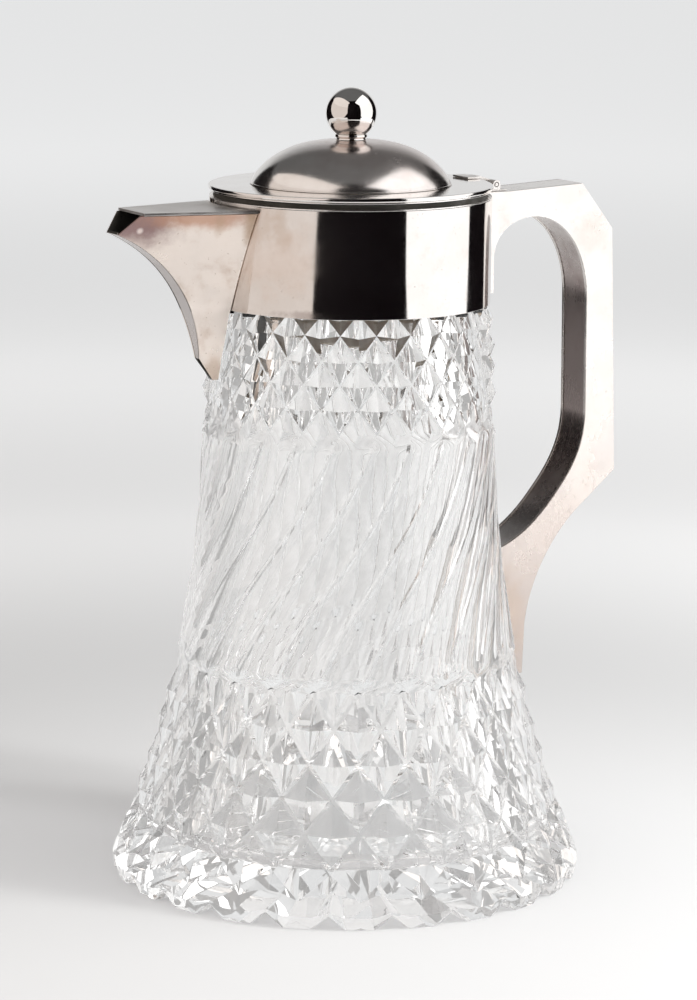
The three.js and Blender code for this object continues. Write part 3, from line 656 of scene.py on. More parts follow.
# Clear lead crystal. For shadows it is a thin grey veil, because light goes round and through it.
crystal, nodes, links, output = new_material("cut_crystal")
glass = nodes.new("ShaderNodeBsdfPrincipled")
glass.inputs["Base Color"].default_value = (0.995, 0.998, 0.997, 1)
glass.inputs["Roughness"].default_value = 0.0
glass.inputs["IOR"].default_value = 1.54
glass.inputs["Transmission Weight"].default_value = 1.0
ray = nodes.new("ShaderNodeLightPath")
clear = nodes.new("ShaderNodeBsdfTransparent")
clear.inputs["Color"].default_value = (0.84, 0.84, 0.845, 1)
pick = nodes.new("ShaderNodeMixShader")
links.new(ray.outputs["Is Shadow Ray"], pick.inputs["Fac"])
links.new(glass.outputs["BSDF"], pick.inputs[1])
links.new(clear.outputs["BSDF"], pick.inputs[2])
links.new(pick.outputs["Shader"], output.inputs["Surface"])

inner_mesh = bmesh.new()
turn_profile(inner_mesh, inside, 2 * count)
bmesh.ops.rotate(inner_mesh, verts=inner_mesh.verts, matrix=Matrix.Rotation(radians(CUT_PHASE), 3, "Z"))
for point in inner_mesh.verts:
    if corner_height < point.co.z < SHOULDER:
        turn = atan2(point.co.y, point.co.x)
        wave = sum(sin(round_it * turn + rise * point.co.z + start)
                   for round_it, rise, start in INSIDE_WAVES)
        reach = hypot(point.co.x, point.co.y)
        point.co.xy *= 1 + INSIDE_WAVE * wave / reach
inner_data = bpy.data.meshes.new("inside")
inner_mesh.to_mesh(inner_data)
inner_mesh.free()
crystal_mesh.from_mesh(inner_data)
bpy.data.meshes.remove(inner_data)
bmesh.ops.remove_doubles(crystal_mesh, verts=crystal_mesh.verts, dist=1e-6)
bmesh.ops.recalc_face_normals(crystal_mesh, faces=crystal_mesh.faces)


def cut_depth(point):
    """How far a point lies under the points of the cut pattern."""
    return body_radius(point.co.z) - hypot(point.co.x, point.co.y)


def narrow_flats(rows, depth, width):
    """Gives the V grooves between a band's diamonds the narrow flat bottom that a worn wheel leaves."""
    grooves = []
    for edge in crystal_mesh.edges:
        heights = [point.co.z for point in edge.verts]
        in_band = all(min(abs(z - row) for row in rows) < 1e-6 for z in heights)
        if in_band and abs(heights[0] - heights[1]) > 1e-4:
            if all(abs(cut_depth(point) - depth) < 1e-5 for point in edge.verts):
                grooves.append(edge)
    bmesh.ops.bevel(crystal_mesh, geom=grooves, offset=width, affect="EDGES", segments=1,
                    profile=0.5, material=-1, clamp_overlap=True)


narrow_flats(UPPER_ROWS, UPPER_CUT, UPPER_FLAT)
narrow_flats(LOWER_ROWS, LOWER_CUT, LOWER_FLAT)

# The ridges between the flutes are slightly blunt
ridges = []
for edge in crystal_mesh.edges:
    heights = [point.co.z for point in edge.verts]
    if min(heights) > flute_bottom + FLUTE_RUNOUT and max(heights) < flute_top - FLUTE_RUNOUT:
        on_top = all(abs(cut_depth(point)) < 1e-6 for point in edge.verts)
        if on_top and abs(heights[0] - heights[1]) > 1e-4:
            ridges.append(edge)
bmesh.ops.bevel(crystal_mesh, geom=ridges, offset=RIDGE_FLAT, affect="EDGES", segments=1,
                profile=0.5, material=-1, clamp_overlap=True)
crystal_body = finish_piece(crystal_mesh, "crystal_body", "jug", "crystal", crystal, sharp_angle=12)
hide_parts("glass_body")


# Silver plate
# Every sheet of the mount is plated metal, polished long ago. It has gone slightly warm and dull
# in clouds, with fine rubbing marks, a few pits and a brown bloom that gathers at the seams.
def add_sockets(group, inputs, outputs):
    """Gives a node group its named inputs, with their values, and its named outputs."""
    for name, kind, value in inputs:
        socket = group.interface.new_socket(name, in_out="INPUT", socket_type="NodeSocket" + kind)
        if value is not None:
            socket.default_value = value
    for name, kind in outputs:
        group.interface.new_socket(name, in_out="OUTPUT", socket_type="NodeSocket" + kind)
    return group.nodes.new("NodeGroupInput"), group.nodes.new("NodeGroupOutput")


def noise(tree, vector, scale, detail, rough):
    """A noise over a vector, from 0 to 1."""
    node = tree.nodes.new("ShaderNodeTexNoise")
    node.inputs["Scale"].default_value = scale
    node.inputs["Detail"].default_value = detail
    node.inputs["Roughness"].default_value = rough
    tree.links.new(vector, node.inputs["Vector"])
    return node.outputs["Fac"]


def spread(tree, value, low, high, to_low=0.0, to_high=1.0):
    """A soft step of a value from one range to another. The limits may be numbers or sockets."""
    node = tree.nodes.new("ShaderNodeMapRange")
    node.interpolation_type = "SMOOTHSTEP"
    tree.links.new(value, node.inputs["Value"])
    for name, number in (("From Min", low), ("From Max", high), ("To Min", to_low), ("To Max", to_high)):
        if isinstance(number, (int, float)):
            node.inputs[name].default_value = number
        else:
            tree.links.new(number, node.inputs[name])
    return node.outputs["Result"]


def maths(tree, operation, first, second):
    """A sum or another operation on two numbers, each a value or a socket."""
    node = tree.nodes.new("ShaderNodeMath")
    node.operation = operation
    for socket, value in zip(node.inputs, (first, second)):
        if isinstance(value, (int, float)):
            socket.default_value = value
        else:
            tree.links.new(value, socket)
    return node.outputs["Value"]


def vector_maths(tree, operation, first, second, output="Vector"):
    """An operation on two vectors, each a tuple or a socket."""
    node = tree.nodes.new("ShaderNodeVectorMath")
    node.operation = operation
    for socket, value in zip(node.inputs, (first, second)):
        if isinstance(value, tuple):
            socket.default_value = value
        else:
            tree.links.new(value, socket)
    return node.outputs[output]


def mix(tree, factor, first, second):
    """A blend of two colours, each a tuple or a socket."""
    node = tree.nodes.new("ShaderNodeMix")
    node.data_type = "RGBA"
    tree.links.new(factor, node.inputs["Factor"])
    for socket, value in ((node.inputs[6], first), (node.inputs[7], second)):
        if isinstance(value, tuple):
            socket.default_value = value
        else:
            tree.links.new(value, socket)
    return node.outputs[2]


def wear_group():
    """Colour, roughness and bump height of old silver plate."""
    group = bpy.data.node_groups.new("silver_wear", "ShaderNodeTree")
    start, end = add_sockets(
        group,
        (("Bloom", "Float", 0.4), ("Polish", "Float", 0.14), ("Scratches", "Float", 0.5),
         ("Streak", "Vector", (1, 1, 1))),
        (("Color", "Color"), ("Roughness", "Float"), ("Height", "Float")))
    place = group.nodes.new("ShaderNodeTexCoord").outputs["Object"]
    stretched = vector_maths(group, "MULTIPLY", place, start.outputs["Streak"])
    clouds = spread(group, noise(group, place, 38, 5, 0.6), 0.38, 0.68)
    blooms = maths(group, "MULTIPLY", spread(group, noise(group, place, 95, 8, 0.7), 0.5, 0.8),
                   start.outputs["Bloom"])
    specks = maths(group, "MULTIPLY", spread(group, noise(group, place, 900, 2, 0.5), 0.69, 0.76),
                   start.outputs["Bloom"])
    rubbing = noise(group, stretched, 420, 4, 0.65)
    warm = mix(group, clouds, (0.80, 0.765, 0.735, 1), (0.87, 0.845, 0.825, 1))
    bloomed = mix(group, blooms, warm, (0.60, 0.50, 0.44, 1))
    group.links.new(mix(group, specks, bloomed, (0.33, 0.27, 0.24, 1)), end.inputs["Color"])
    dull = maths(group, "MULTIPLY", maths(group, "ADD", clouds, blooms),
                 maths(group, "MULTIPLY", start.outputs["Polish"], 0.7))
    rubbed = maths(group, "MULTIPLY", spread(group, rubbing, 0.45, 0.75),
                   maths(group, "MULTIPLY", start.outputs["Scratches"], 0.12))
    rough = maths(group, "ADD", maths(group, "ADD", start.outputs["Polish"], dull), rubbed)
    group.links.new(rough, end.inputs["Roughness"])
    group.links.new(maths(group, "MULTIPLY", rubbing, start.outputs["Scratches"]), end.inputs["Height"])
    return group


def patch_group():
    """A patch with a ragged edge about a centre, put over a colour and a roughness, for real marks and for
    painted shade and reflection.
    """
    group = bpy.data.node_groups.new("stain_and_shade_patch", "ShaderNodeTree")
    start, end = add_sockets(
        group,
        (("Color", "Color", (0.8, 0.8, 0.8, 1)), ("Roughness", "Float", 0.2),
         ("Centre", "Vector", (0, 0, 0)), ("Squeeze", "Vector", (1, 1, 1)), ("Reach", "Float", 0.01),
         ("Ragged", "Float", 0.5), ("Strength", "Float", 0.5), ("Stain and shade", "Color", (0.3, 0.25, 0.25, 1))),
        (("Color", "Color"), ("Roughness", "Float")))
    place = group.nodes.new("ShaderNodeTexCoord").outputs["Object"]
    offset = vector_maths(group, "SUBTRACT", place, start.outputs["Centre"])
    squeezed = vector_maths(group, "MULTIPLY", offset, start.outputs["Squeeze"])
    away = vector_maths(group, "LENGTH", squeezed, (0, 0, 0), "Value")
    waver = maths(group, "SUBTRACT", noise(group, place, 150, 4, 0.6), 0.5)
    push = maths(group, "MULTIPLY", maths(group, "MULTIPLY", waver, start.outputs["Ragged"]),
                 start.outputs["Reach"])
    edge = maths(group, "ADD", away, push)
    full_strength_reach = maths(group, "MULTIPLY", start.outputs["Reach"], 0.25)
    inside_patch = spread(group, edge, start.outputs["Reach"], full_strength_reach)
    share = maths(group, "MULTIPLY", inside_patch, start.outputs["Strength"])
    group.links.new(mix(group, share, start.outputs["Color"], start.outputs["Stain and shade"]), end.inputs["Color"])
    duller = maths(group, "MULTIPLY", share, 0.12)
    group.links.new(maths(group, "ADD", start.outputs["Roughness"], duller), end.inputs["Roughness"])
    return group


silver_wear = wear_group()
stain_and_shade_patch = patch_group()


def silver(name, bloom, polish, scratches, streak, stains_and_shade=()):
    """A plated finish of its own bloom, polish and rubbing marks, with any patches it has: real marks, and
    painted shade and reflection.

    Each patch is its centre, its squeeze along each axis, its reach, how ragged its edge is, its
    strength and its colour.
    """
    material, nodes, links, output = new_material(name)
    metal = nodes.new("ShaderNodeBsdfPrincipled")
    metal.inputs["Metallic"].default_value = 1.0
    wear = nodes.new("ShaderNodeGroup")
    wear.node_tree = silver_wear
    wear.inputs["Bloom"].default_value = bloom
    wear.inputs["Polish"].default_value = polish
    wear.inputs["Scratches"].default_value = scratches
    wear.inputs["Streak"].default_value = streak
    last = wear
    for centre, squeeze, reach, ragged, strength, patch_colour in stains_and_shade:
        patch = nodes.new("ShaderNodeGroup")
        patch.node_tree = stain_and_shade_patch
        patch.inputs["Centre"].default_value = centre
        patch.inputs["Squeeze"].default_value = squeeze
        patch.inputs["Reach"].default_value = reach
        patch.inputs["Ragged"].default_value = ragged
        patch.inputs["Strength"].default_value = strength
        patch.inputs["Stain and shade"].default_value = patch_colour
        links.new(last.outputs["Color"], patch.inputs["Color"])
        links.new(last.outputs["Roughness"], patch.inputs["Roughness"])
        last = patch
    bump = nodes.new("ShaderNodeBump")
    bump.inputs["Strength"].default_value = 0.06
    bump.inputs["Distance"].default_value = 0.0002
    links.new(last.outputs["Color"], metal.inputs["Base Color"])
    links.new(last.outputs["Roughness"], metal.inputs["Roughness"])
    links.new(wear.outputs["Height"], bump.inputs["Height"])
    links.new(bump.outputs["Normal"], metal.inputs["Normal"])
    links.new(metal.outputs["BSDF"], output.inputs["Surface"])
    return material


# Collar
# The collar is a rolled band with the pour port cut out of its spout side. The plate inside it is
# stained, because nobody polishes there.
COLLAR_RADIUS = 0.0515
COLLAR_BOTTOM = 0.2125
COLLAR_TOP = 0.2508
SHEET = 0.001
ROUND_FIT = 0.0003
PORT_SILL = NECK_TOP + 0.0026
PORT_MARGIN = 0.0006
SPOUT_TOP = COLLAR_TOP - 0.0011
ROOT_HALF = 0.0197
FLANK_SLOPE = 0.39

WARM_STAIN = (0.55, 0.40, 0.29, 1)
collar_silver = silver("collar_silver", 0.3, 0.05, 0.2, (0.4, 0.4, 3), (
    ((-0.043, -0.027, 0.2320), (0.6, 0.6, 1), 0.016, 1.3, 0.3, (0.78, 0.62, 0.52, 1)),
    ((-0.047, -0.0205, 0.247), (1, 1, 0.6), 0.008, 0.9, 0.3, WARM_STAIN),
    ((-0.043, -0.028, 0.243), (1, 1, 0.45), 0.005, 1.2, 0.3, WARM_STAIN),
    ((-0.036, -0.036, 0.2135), (0.35, 0.35, 2.2), 0.006, 1.6, 0.5, (0.33, 0.27, 0.25, 1))))
inner_silver = silver("unpolished_silver", 0.8, 0.32, 0.4, (1, 1, 1), (
    ((0, 0, 0.24), (1, 1, 1), 0.3, 0.6, 0.55, (0.42, 0.37, 0.33, 1)),))
# Nearly black, for painted shade inside the spout and in the gap under the lid
painted_shade_black = silver("painted_shade_silver", 1.0, 0.4, 0.4, (1, 1, 1), (
    ((-0.07, 0, 0.24), (1, 1, 1), 0.3, 0.6, 0.93, (0.045, 0.042, 0.034, 1)),))


def sharp_edges(bm, angle):
    """The edges where two faces meet at more than the angle given."""
    return [edge for edge in bm.edges
            if len(edge.link_faces) == 2 and edge.calc_face_angle(0) > radians(angle)]


def soften(bm, angle, width, segments=2):
    """Rounds the edges that are sharper than the angle given."""
    bmesh.ops.remove_doubles(bm, verts=bm.verts, dist=MERGE)
    bmesh.ops.recalc_face_normals(bm, faces=bm.faces)
    bmesh.ops.bevel(bm, geom=sharp_edges(bm, angle), offset=width, affect="EDGES", segments=segments,
                    profile=0.5, material=-1, clamp_overlap=True)


def thicken(bm, thickness):
    """Gives an open sheet, whose faces point outwards, its thickness on the inside."""
    bm.normal_update()
    bmesh.ops.solidify(bm, geom=bm.faces[:], thickness=thickness)


def line_inside(piece, material, faces_in):
    """Gives the faces for which faces_in(centre, normal) holds a material of their own."""
    piece.data.materials.append(material)
    for face in piece.data.polygons:
        if faces_in(face.center, face.normal):
            face.material_index = 1


# The band is turned, cut along the port's outline and given its thickness
band_mesh = bmesh.new()
turn_profile(band_mesh, [(COLLAR_RADIUS, COLLAR_BOTTOM), (COLLAR_RADIUS, COLLAR_TOP)], 192)
bmesh.ops.remove_doubles(band_mesh, verts=band_mesh.verts, dist=MERGE)
port_low = ROOT_HALF - FLANK_SLOPE * (SPOUT_TOP - PORT_SILL) - SHEET - PORT_MARGIN
port_high = ROOT_HALF - FLANK_SLOPE * (SPOUT_TOP - COLLAR_TOP) - SHEET - PORT_MARGIN
cuts = [((0, 0, PORT_SILL), (0, 0, 1))]
for side in (-1, 1):
    flank_normal = (0, side * (COLLAR_TOP - PORT_SILL), port_low - port_high)
    cuts.append(((0, side * port_low, PORT_SILL), flank_normal))
for place, normal in cuts:
    whole = band_mesh.verts[:] + band_mesh.edges[:] + band_mesh.faces[:]
    bmesh.ops.bisect_plane(band_mesh, geom=whole, dist=MERGE, plane_co=place, plane_no=normal)


def in_port(centre):
    """Whether a place on the band lies in the port's outline."""
    up = (centre.z - PORT_SILL) / (COLLAR_TOP - PORT_SILL)
    return centre.x < 0 and up > 0 and abs(centre.y) < port_low + (port_high - port_low) * up


port = [face for face in band_mesh.faces if in_port(face.calc_center_median())]
bmesh.ops.delete(band_mesh, geom=port, context="FACES")
bmesh.ops.recalc_face_normals(band_mesh, faces=band_mesh.faces)
some_face = next(iter(band_mesh.faces))
if some_face.normal.dot(some_face.calc_center_median()) < 0:
    bmesh.ops.reverse_faces(band_mesh, faces=band_mesh.faces)
thicken(band_mesh, SHEET)
soften(band_mesh, angle=50, width=0.00012)
collar = finish_piece(band_mesh, "collar_band_plate", "jug", "silver_plate", collar_silver)
line_inside(collar, inner_silver, lambda centre, normal: normal.x * centre.x + normal.y * centre.y < -1e-5)
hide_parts("collar_band")


# Rim
# A turned ring soldered into the collar: a thin ledge outside, a neck that the lid closes on, and a
# skirt inside the band.
rim_silver = silver("rim_silver", 0.5, 0.16, 0.5, (0.5, 0.5, 4))
RIM_BOTTOM = COLLAR_TOP + 0.0001
RIM_TOP = RIM_BOTTOM + 0.0005
RIM_NECK = 0.05
RIM_NECK_INSIDE = 0.0488
RIM_MOUTH = 0.0446
RIM_NECK_TOP = RIM_TOP + 0.0016
RIM_SKIRT = COLLAR_TOP - 0.0037


def turned_piece(name, profile, body, material, slot_name="silver_plate", steps=144, width=0.00015,
                 angle=35):
    """A turned ring or disc with softly rounded edges."""
    bm = bmesh.new()
    turn_profile(bm, profile, steps)
    soften(bm, angle, width)
    return finish_piece(bm, name, body, slot_name, material)


in_collar = COLLAR_RADIUS - SHEET - ROUND_FIT
rim = turned_piece("rim_ring", [
    (RIM_MOUTH, RIM_BOTTOM), (RIM_NECK_INSIDE, RIM_BOTTOM), (RIM_NECK_INSIDE, RIM_SKIRT),
    (in_collar, RIM_SKIRT), (in_collar, RIM_BOTTOM),
    (COLLAR_RADIUS, RIM_BOTTOM), (COLLAR_RADIUS, RIM_TOP), (RIM_NECK, RIM_TOP), (RIM_NECK, RIM_NECK_TOP),
    (RIM_NECK_INSIDE, RIM_NECK_TOP), (RIM_NECK_INSIDE, RIM_TOP), (RIM_MOUTH, RIM_TOP),
    (RIM_MOUTH, RIM_BOTTOM)], "jug", rim_silver, steps=192)
# The rim's top, in the gap under the lid's disc, is painted nearly black: painted shade
line_inside(rim, painted_shade_black, lambda centre, normal: centre.z > RIM_TOP - 0.00005
            and hypot(centre.x, centre.y) < RIM_NECK + 0.0004)
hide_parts("collar_rim")


# Plaster in the neck
# A ring of brown plaster that beds the collar on the crystal neck. It shows through the glass.
bed, nodes, links, output = new_material("old_plaster")
plaster = nodes.new("ShaderNodeBsdfPrincipled")
plaster.inputs["Roughness"].default_value = 0.9
place = nodes.new("ShaderNodeTexCoord").outputs["Object"]
grit = noise(bed.node_tree, place, 260, 6, 0.7)
lumps = noise(bed.node_tree, place, 70, 3, 0.5)
lumpy = spread(bed.node_tree, lumps, 0.35, 0.65)
brown = mix(bed.node_tree, lumpy, (0.30, 0.21, 0.14, 1), (0.46, 0.36, 0.26, 1))
links.new(brown, plaster.inputs["Base Color"])
bump = nodes.new("ShaderNodeBump")
bump.inputs["Strength"].default_value = 0.4
bump.inputs["Distance"].default_value = 0.0003
links.new(grit, bump.inputs["Height"])
links.new(bump.outputs["Normal"], plaster.inputs["Normal"])
links.new(plaster.outputs["BSDF"], output.inputs["Surface"])
CEMENT_BOTTOM = COLLAR_BOTTOM + 0.0001
CEMENT_TOP = NECK_TOP - 0.0012
cement_inside = NECK_RADIUS + ROUND_FIT
cement = turned_piece("plaster_ring", [
    (cement_inside, CEMENT_BOTTOM), (in_collar, CEMENT_BOTTOM), (in_collar, CEMENT_TOP),
    (cement_inside, CEMENT_TOP), (cement_inside, CEMENT_BOTTOM)],
    "jug", bed, "plaster", width=0.0004)
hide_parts("neck_cement")


# Spout
# Two flat cheeks run from the collar to the mouth and down over the crystal to a tip, with a narrow
# keel between them and a flat plate on top. Inside, the silver is painted nearly black: painted shade.
MOUTH_RAKE = 0.0074
MOUTH_TOP_HALF = 0.0107
MOUTH_BOTTOM_HALF = 0.005
MOUTH_HEIGHT = 0.0079
SPOUT_LENGTH = 0.0439
KNEE_PROUD = 0.0127
TAIL_DROP = 0.0254
TAIL_PROUD = 0.0026
TIP_HALF = 0.0009
TAIL_TAPER = 1.6
CHEEK_SHEET = 0.0008
KEEL_TAPER = 1.5
KEEL_TAPER_RISE = 0.0035
KEEL_SIDE_GAP = CHEEK_SHEET * 1.3
PLATE_CLEARANCE = 0.0011
seam_fit = COLLAR_RADIUS + ROUND_FIT
spout_reach = seam_fit + SPOUT_LENGTH
keel_knee = seam_fit + KNEE_PROUD
mouth_bottom = SPOUT_TOP - MOUTH_HEIGHT
tail_bottom = COLLAR_BOTTOM - TAIL_DROP

SMOKE_STAIN = (0.27, 0.165, 0.165, 1)
cheek_silver = silver("spout_silver", 0.85, 0.22, 0.5, (0.5, 0.5, 2), (
    ((-0.075, 0, 0.22), (1, 1, 1), 0.3, 0.2, 0.4, (0.87, 0.70, 0.58, 1)),
    ((-0.090, -0.0085, 0.2465), (0.75, 0.5, 1.1), 0.015, 0.8, 0.9, SMOKE_STAIN),
    ((-0.066, -0.0140, 0.2480), (0.28, 0.6, 1.5), 0.0095, 0.9, 0.8, (0.56, 0.32, 0.22, 1)),
    ((-0.0885, -0.0075, 0.2432), (1, 0.3, 1), 0.0016, 0.7, 0.95, (0.86, 0.74, 0.70, 1)),
    ((-0.061, -0.0160, 0.2440), (1.7, 1, 0.6), 0.0045, 1.0, 0.4, WARM_STAIN),
    ((-0.0500, -0.0185, 0.2450), (1.8, 1, 0.4), 0.0065, 0.9, 0.8, WARM_STAIN),
    ((-0.0570, -0.0030, 0.1900), (1, 1, 0.7), 0.0060, 1.2, 0.5, WARM_STAIN)))
keel_silver = silver("keel_silver", 0.5, 0.2, 0.4, (1, 3, 0.4), (
    ((-0.08, 0, 0.22), (1, 1, 1), 0.2, 0.4, 0.45, (0.42, 0.37, 0.37, 1)),))


def seam_width(z):
    """Half width of the spout where its cheek meets the collar, or the crystal below it."""
    if z >= COLLAR_BOTTOM:
        return ROOT_HALF - FLANK_SLOPE * (SPOUT_TOP - z)
    at_collar = ROOT_HALF - FLANK_SLOPE * (SPOUT_TOP - COLLAR_BOTTOM)
    along = min(1, (COLLAR_BOTTOM - z) / TAIL_DROP)
    return max(TIP_HALF, at_collar * (1 - along ** TAIL_TAPER))


def keel_width(z):
    """Half width of the keel, even at first and narrow at the tip of the tail."""
    narrow_from = COLLAR_BOTTOM + KEEL_TAPER_RISE
    along = max(0, min(1, (narrow_from - z) / (narrow_from - tail_bottom)))
    return max(TIP_HALF, MOUTH_BOTTOM_HALF * (1 - along ** KEEL_TAPER))


def seam_place(z, side):
    """Where the cheek ends at the collar or the crystal."""
    radius = seam_fit if z >= COLLAR_BOTTOM else max(seam_fit, body_radius(z) + ROUND_FIT)
    half = seam_width(z)
    return Vector((-sqrt(radius ** 2 - half ** 2), side * half, z))


def bezier(corners, steps):
    """Points of a cubic curve in two dimensions."""
    points = []
    for step in range(steps + 1):
        t = step / steps
        shares = ((1 - t) ** 3, 3 * t * (1 - t) ** 2, 3 * t * t * (1 - t), t ** 3)
        parts = list(zip(shares, corners))
        points.append(tuple(sum(share * corner[i] for share, corner in parts) for i in (0, 1)))
    return points


def chain(bm, places):
    """A line of points joined by edges."""
    points = [bm.verts.new(place) for place in places]
    return [bm.edges.new(pair) for pair in zip(points, points[1:])]


# The keel curves in from the mouth, bends down level with the collar's lower edge, and runs along the
# tail to where it is cut off
KEEL_LEAN_IN = 0.024
KEEL_LEAN_DOWN = 0.0108
KNEE_DROP = 0.0005
KEEL_END_IN = 0.0021
KEEL_END_RISE = 0.0082
keel_curve = bezier([(spout_reach, mouth_bottom),
                     (spout_reach - KEEL_LEAN_IN, mouth_bottom - KEEL_LEAN_DOWN),
                     (keel_knee, COLLAR_BOTTOM - KNEE_DROP),
                     (keel_knee - KEEL_END_IN, tail_bottom + KEEL_END_RISE)], 32)
keel_curve.append((body_radius(tail_bottom) + TAIL_PROUD, tail_bottom))

# Each cheek is a sheet between its free edge, from the mouth down the keel, and its seam
for side, name in ((-1, "left"), (1, "right")):
    free_edge = []
    under_plate = 0.99 - PLATE_CLEARANCE / MOUTH_HEIGHT
    for up in (under_plate, 0.75, 0.5, 0.25):
        z = mouth_bottom + MOUTH_HEIGHT * up
        half = MOUTH_BOTTOM_HALF + (MOUTH_TOP_HALF - MOUTH_BOTTOM_HALF) * up
        free_edge.append(Vector((-(spout_reach - MOUTH_RAKE * up), side * half, z)))
    for reach, z in keel_curve:
        free_edge.append(Vector((-reach, side * keel_width(z), z)))
    cheek_mesh = bmesh.new()
    front = chain(cheek_mesh, free_edge)
    back = chain(cheek_mesh, [seam_place(place.z, side) for place in free_edge])
    bmesh.ops.bridge_loops(cheek_mesh, edges=front + back)
    cheek_mesh.normal_update()
    if sum(face.normal.y for face in cheek_mesh.faces) * side < 0:
        bmesh.ops.reverse_faces(cheek_mesh, faces=cheek_mesh.faces)
    thicken(cheek_mesh, CHEEK_SHEET)
    soften(cheek_mesh, angle=60, width=0.00012)
    cheek = finish_piece(cheek_mesh, "spout_cheek_" + name, "jug", "silver_plate", cheek_silver)
    line_inside(cheek, painted_shade_black, lambda centre, normal, side=side: normal.y * side < -0.1)
    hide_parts("spout_%s_cheek" % name)

# The keel lies between the cheeks and ends before the tip
KEEL_END = 0.86
keel_points = []
whole = sum(hypot(b[0] - a[0], b[1] - a[1]) for a, b in zip(keel_curve, keel_curve[1:]))
gone = 0
for a, b in zip(keel_curve, keel_curve[1:]):
    if gone <= KEEL_END * whole:
        keel_points.append(a)
    gone += hypot(b[0] - a[0], b[1] - a[1])
keel_mesh = bmesh.new()
edges = []
for side in (-1, 1):
    line = [Vector((-reach, side * (keel_width(z) - KEEL_SIDE_GAP), z)) for reach, z in keel_points]
    edges += chain(keel_mesh, line)
bmesh.ops.bridge_loops(keel_mesh, edges=edges)
keel_mesh.normal_update()
if sum(face.normal.z for face in keel_mesh.faces) > 0:
    bmesh.ops.reverse_faces(keel_mesh, faces=keel_mesh.faces)
thicken(keel_mesh, SHEET)
soften(keel_mesh, angle=60, width=0.0001, segments=1)
keel = finish_piece(keel_mesh, "spout_keel_strip", "jug", "silver_plate", keel_silver)
line_inside(keel, painted_shade_black, lambda centre, normal: normal.z > 0.2 and abs(normal.y) < 0.5)
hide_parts("spout_keel")


def draw_out(bm, faces, lift):
    """Makes a solid of a flat face or faces, by drawing them out along lift."""
    made = bmesh.ops.extrude_face_region(bm, geom=faces)["geom"]
    moved = [item for item in made if isinstance(item, bmesh.types.BMVert)]
    bmesh.ops.translate(bm, verts=moved, vec=lift)


def plate_mesh(outline, thickness, width, axis="Y"):
    """A flat plate: its outline, in two dimensions, is filled, drawn out along the axis and softened."""
    bm = bmesh.new()
    if axis == "Y":
        points = [bm.verts.new((a, -thickness / 2, b)) for a, b in outline]
        lift = Vector((0, thickness, 0))
    else:
        points = [bm.verts.new((a, b, -thickness / 2)) for a, b in outline]
        lift = Vector((0, 0, thickness))
    draw_out(bm, [bm.faces.new(points)], lift)
    soften(bm, 50, width)
    return bm


root_angle = asin(ROOT_HALF / seam_fit)
lip = spout_reach - MOUTH_RAKE
outline = [(-lip, MOUTH_TOP_HALF), (-lip, -MOUTH_TOP_HALF)]
ROOT_STEPS = 24
for step in range(ROOT_STEPS + 1):
    angle = pi + root_angle - 2 * root_angle * step / ROOT_STEPS
    outline.append((seam_fit * cos(angle), seam_fit * sin(angle)))
top_mesh = plate_mesh(outline, SHEET, 0.0002, "Z")
bmesh.ops.translate(top_mesh, verts=top_mesh.verts, vec=(0, 0, SPOUT_TOP - SHEET / 2))
# The plate's near corner at the collar, under the lid's disc, is painted nearly black: painted shade
cover_silver = silver("cover_silver", 0.3, 0.3, 0.5, (0.5, 2, 0.5), (
    ((-0.045, -0.019, 0.25), (0.6, 1, 1), 0.009, 0.8, 0.85, (0.05, 0.035, 0.03, 1)),))
top_plate = finish_piece(top_mesh, "spout_cover", "jug", "silver_plate", cover_silver)
line_inside(top_plate, painted_shade_black, lambda centre, normal: normal.z < -0.5)
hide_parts("spout_top_plate")


# Handle
# A hollow handle of four sheets: two flat sides cut to the angular outline, a strip round the
# outside and a strip round the finger space. Its root lies on the collar and its tail on the crystal.
HANDLE_WIDTH = 0.0175
SIDE_SHEET = 0.0016
STRIP_SHEET = 0.0012
STRIP_INSET = 0.0004
SOLDER_GAP = 0.0001
ELBOW = 0.1421
# The first patch makes the handle darker and browner, more and more towards its lower end
handle_silver = silver("handle_silver", 0.35, 0.17, 0.5, (1, 1, 0.3), (
    ((0.08, -0.0088, 0.02), (0.5, 0.5, 1), 0.22, 0.05, 0.75, (0.46, 0.38, 0.34, 1)),
    ((0.062, -0.0088, 0.0900), (1, 1, 0.6), 0.014, 1.0, 0.3, WARM_STAIN),
    ((0.085, -0.0088, 0.1250), (1, 1, 1), 0.016, 1.2, 0.2, (0.6, 0.52, 0.48, 1)),
    ((0.100, -0.0088, 0.2340), (1, 1, 1), 0.012, 1.0, 0.15, WARM_STAIN)))
# The strip round the finger space is made darker and browner all over
grip_silver = silver("grip_silver", 0.7, 0.15, 0.6, (3, 3, 0.3), (
    ((0.1, 0, 0.175), (1, 1, 0.75), 0.075, 0.5, 0.85, (0.30, 0.235, 0.225, 1)),))

# The outline's main places. Inner is towards the finger space, back is away from it. A lean says
# where the handle of a curve lies, as a share of the bend or as a distance.
FINGER_DEPTH = 0.0454
GRIP_DEPTH = 0.0142
TOP_RISE = 0.00165
TAIL_TOP_DROP = 0.0561
TAIL_TIP_DROP = 0.0756
TAIL_DEPTH = 0.0092
TAIL_TIP_DEPTH = 0.004
ROOT_FLAT = 0.0107
TOP_REACH = 0.0427
CHAMFER_REACH = 0.011
CHAMFER_DROP = 0.0175
LOW_BEND_IN = 0.0164
LOW_BEND_DROP = 0.0137
LOW_BEND_LEAN = (1.67, 1.69)
TAIL_LEAN = (0.0021, 0.017)
handle_root = COLLAR_RADIUS + ROUND_FIT
handle_top = COLLAR_TOP - SOLDER_GAP / 2
corner_top = handle_top + TOP_RISE
grip_inner = handle_root + FINGER_DEPTH
grip_back = grip_inner + GRIP_DEPTH


def beside_crystal(z):
    """How far from the axis a sheet runs that lies on the crystal."""
    return body_radius(z) + ROUND_FIT


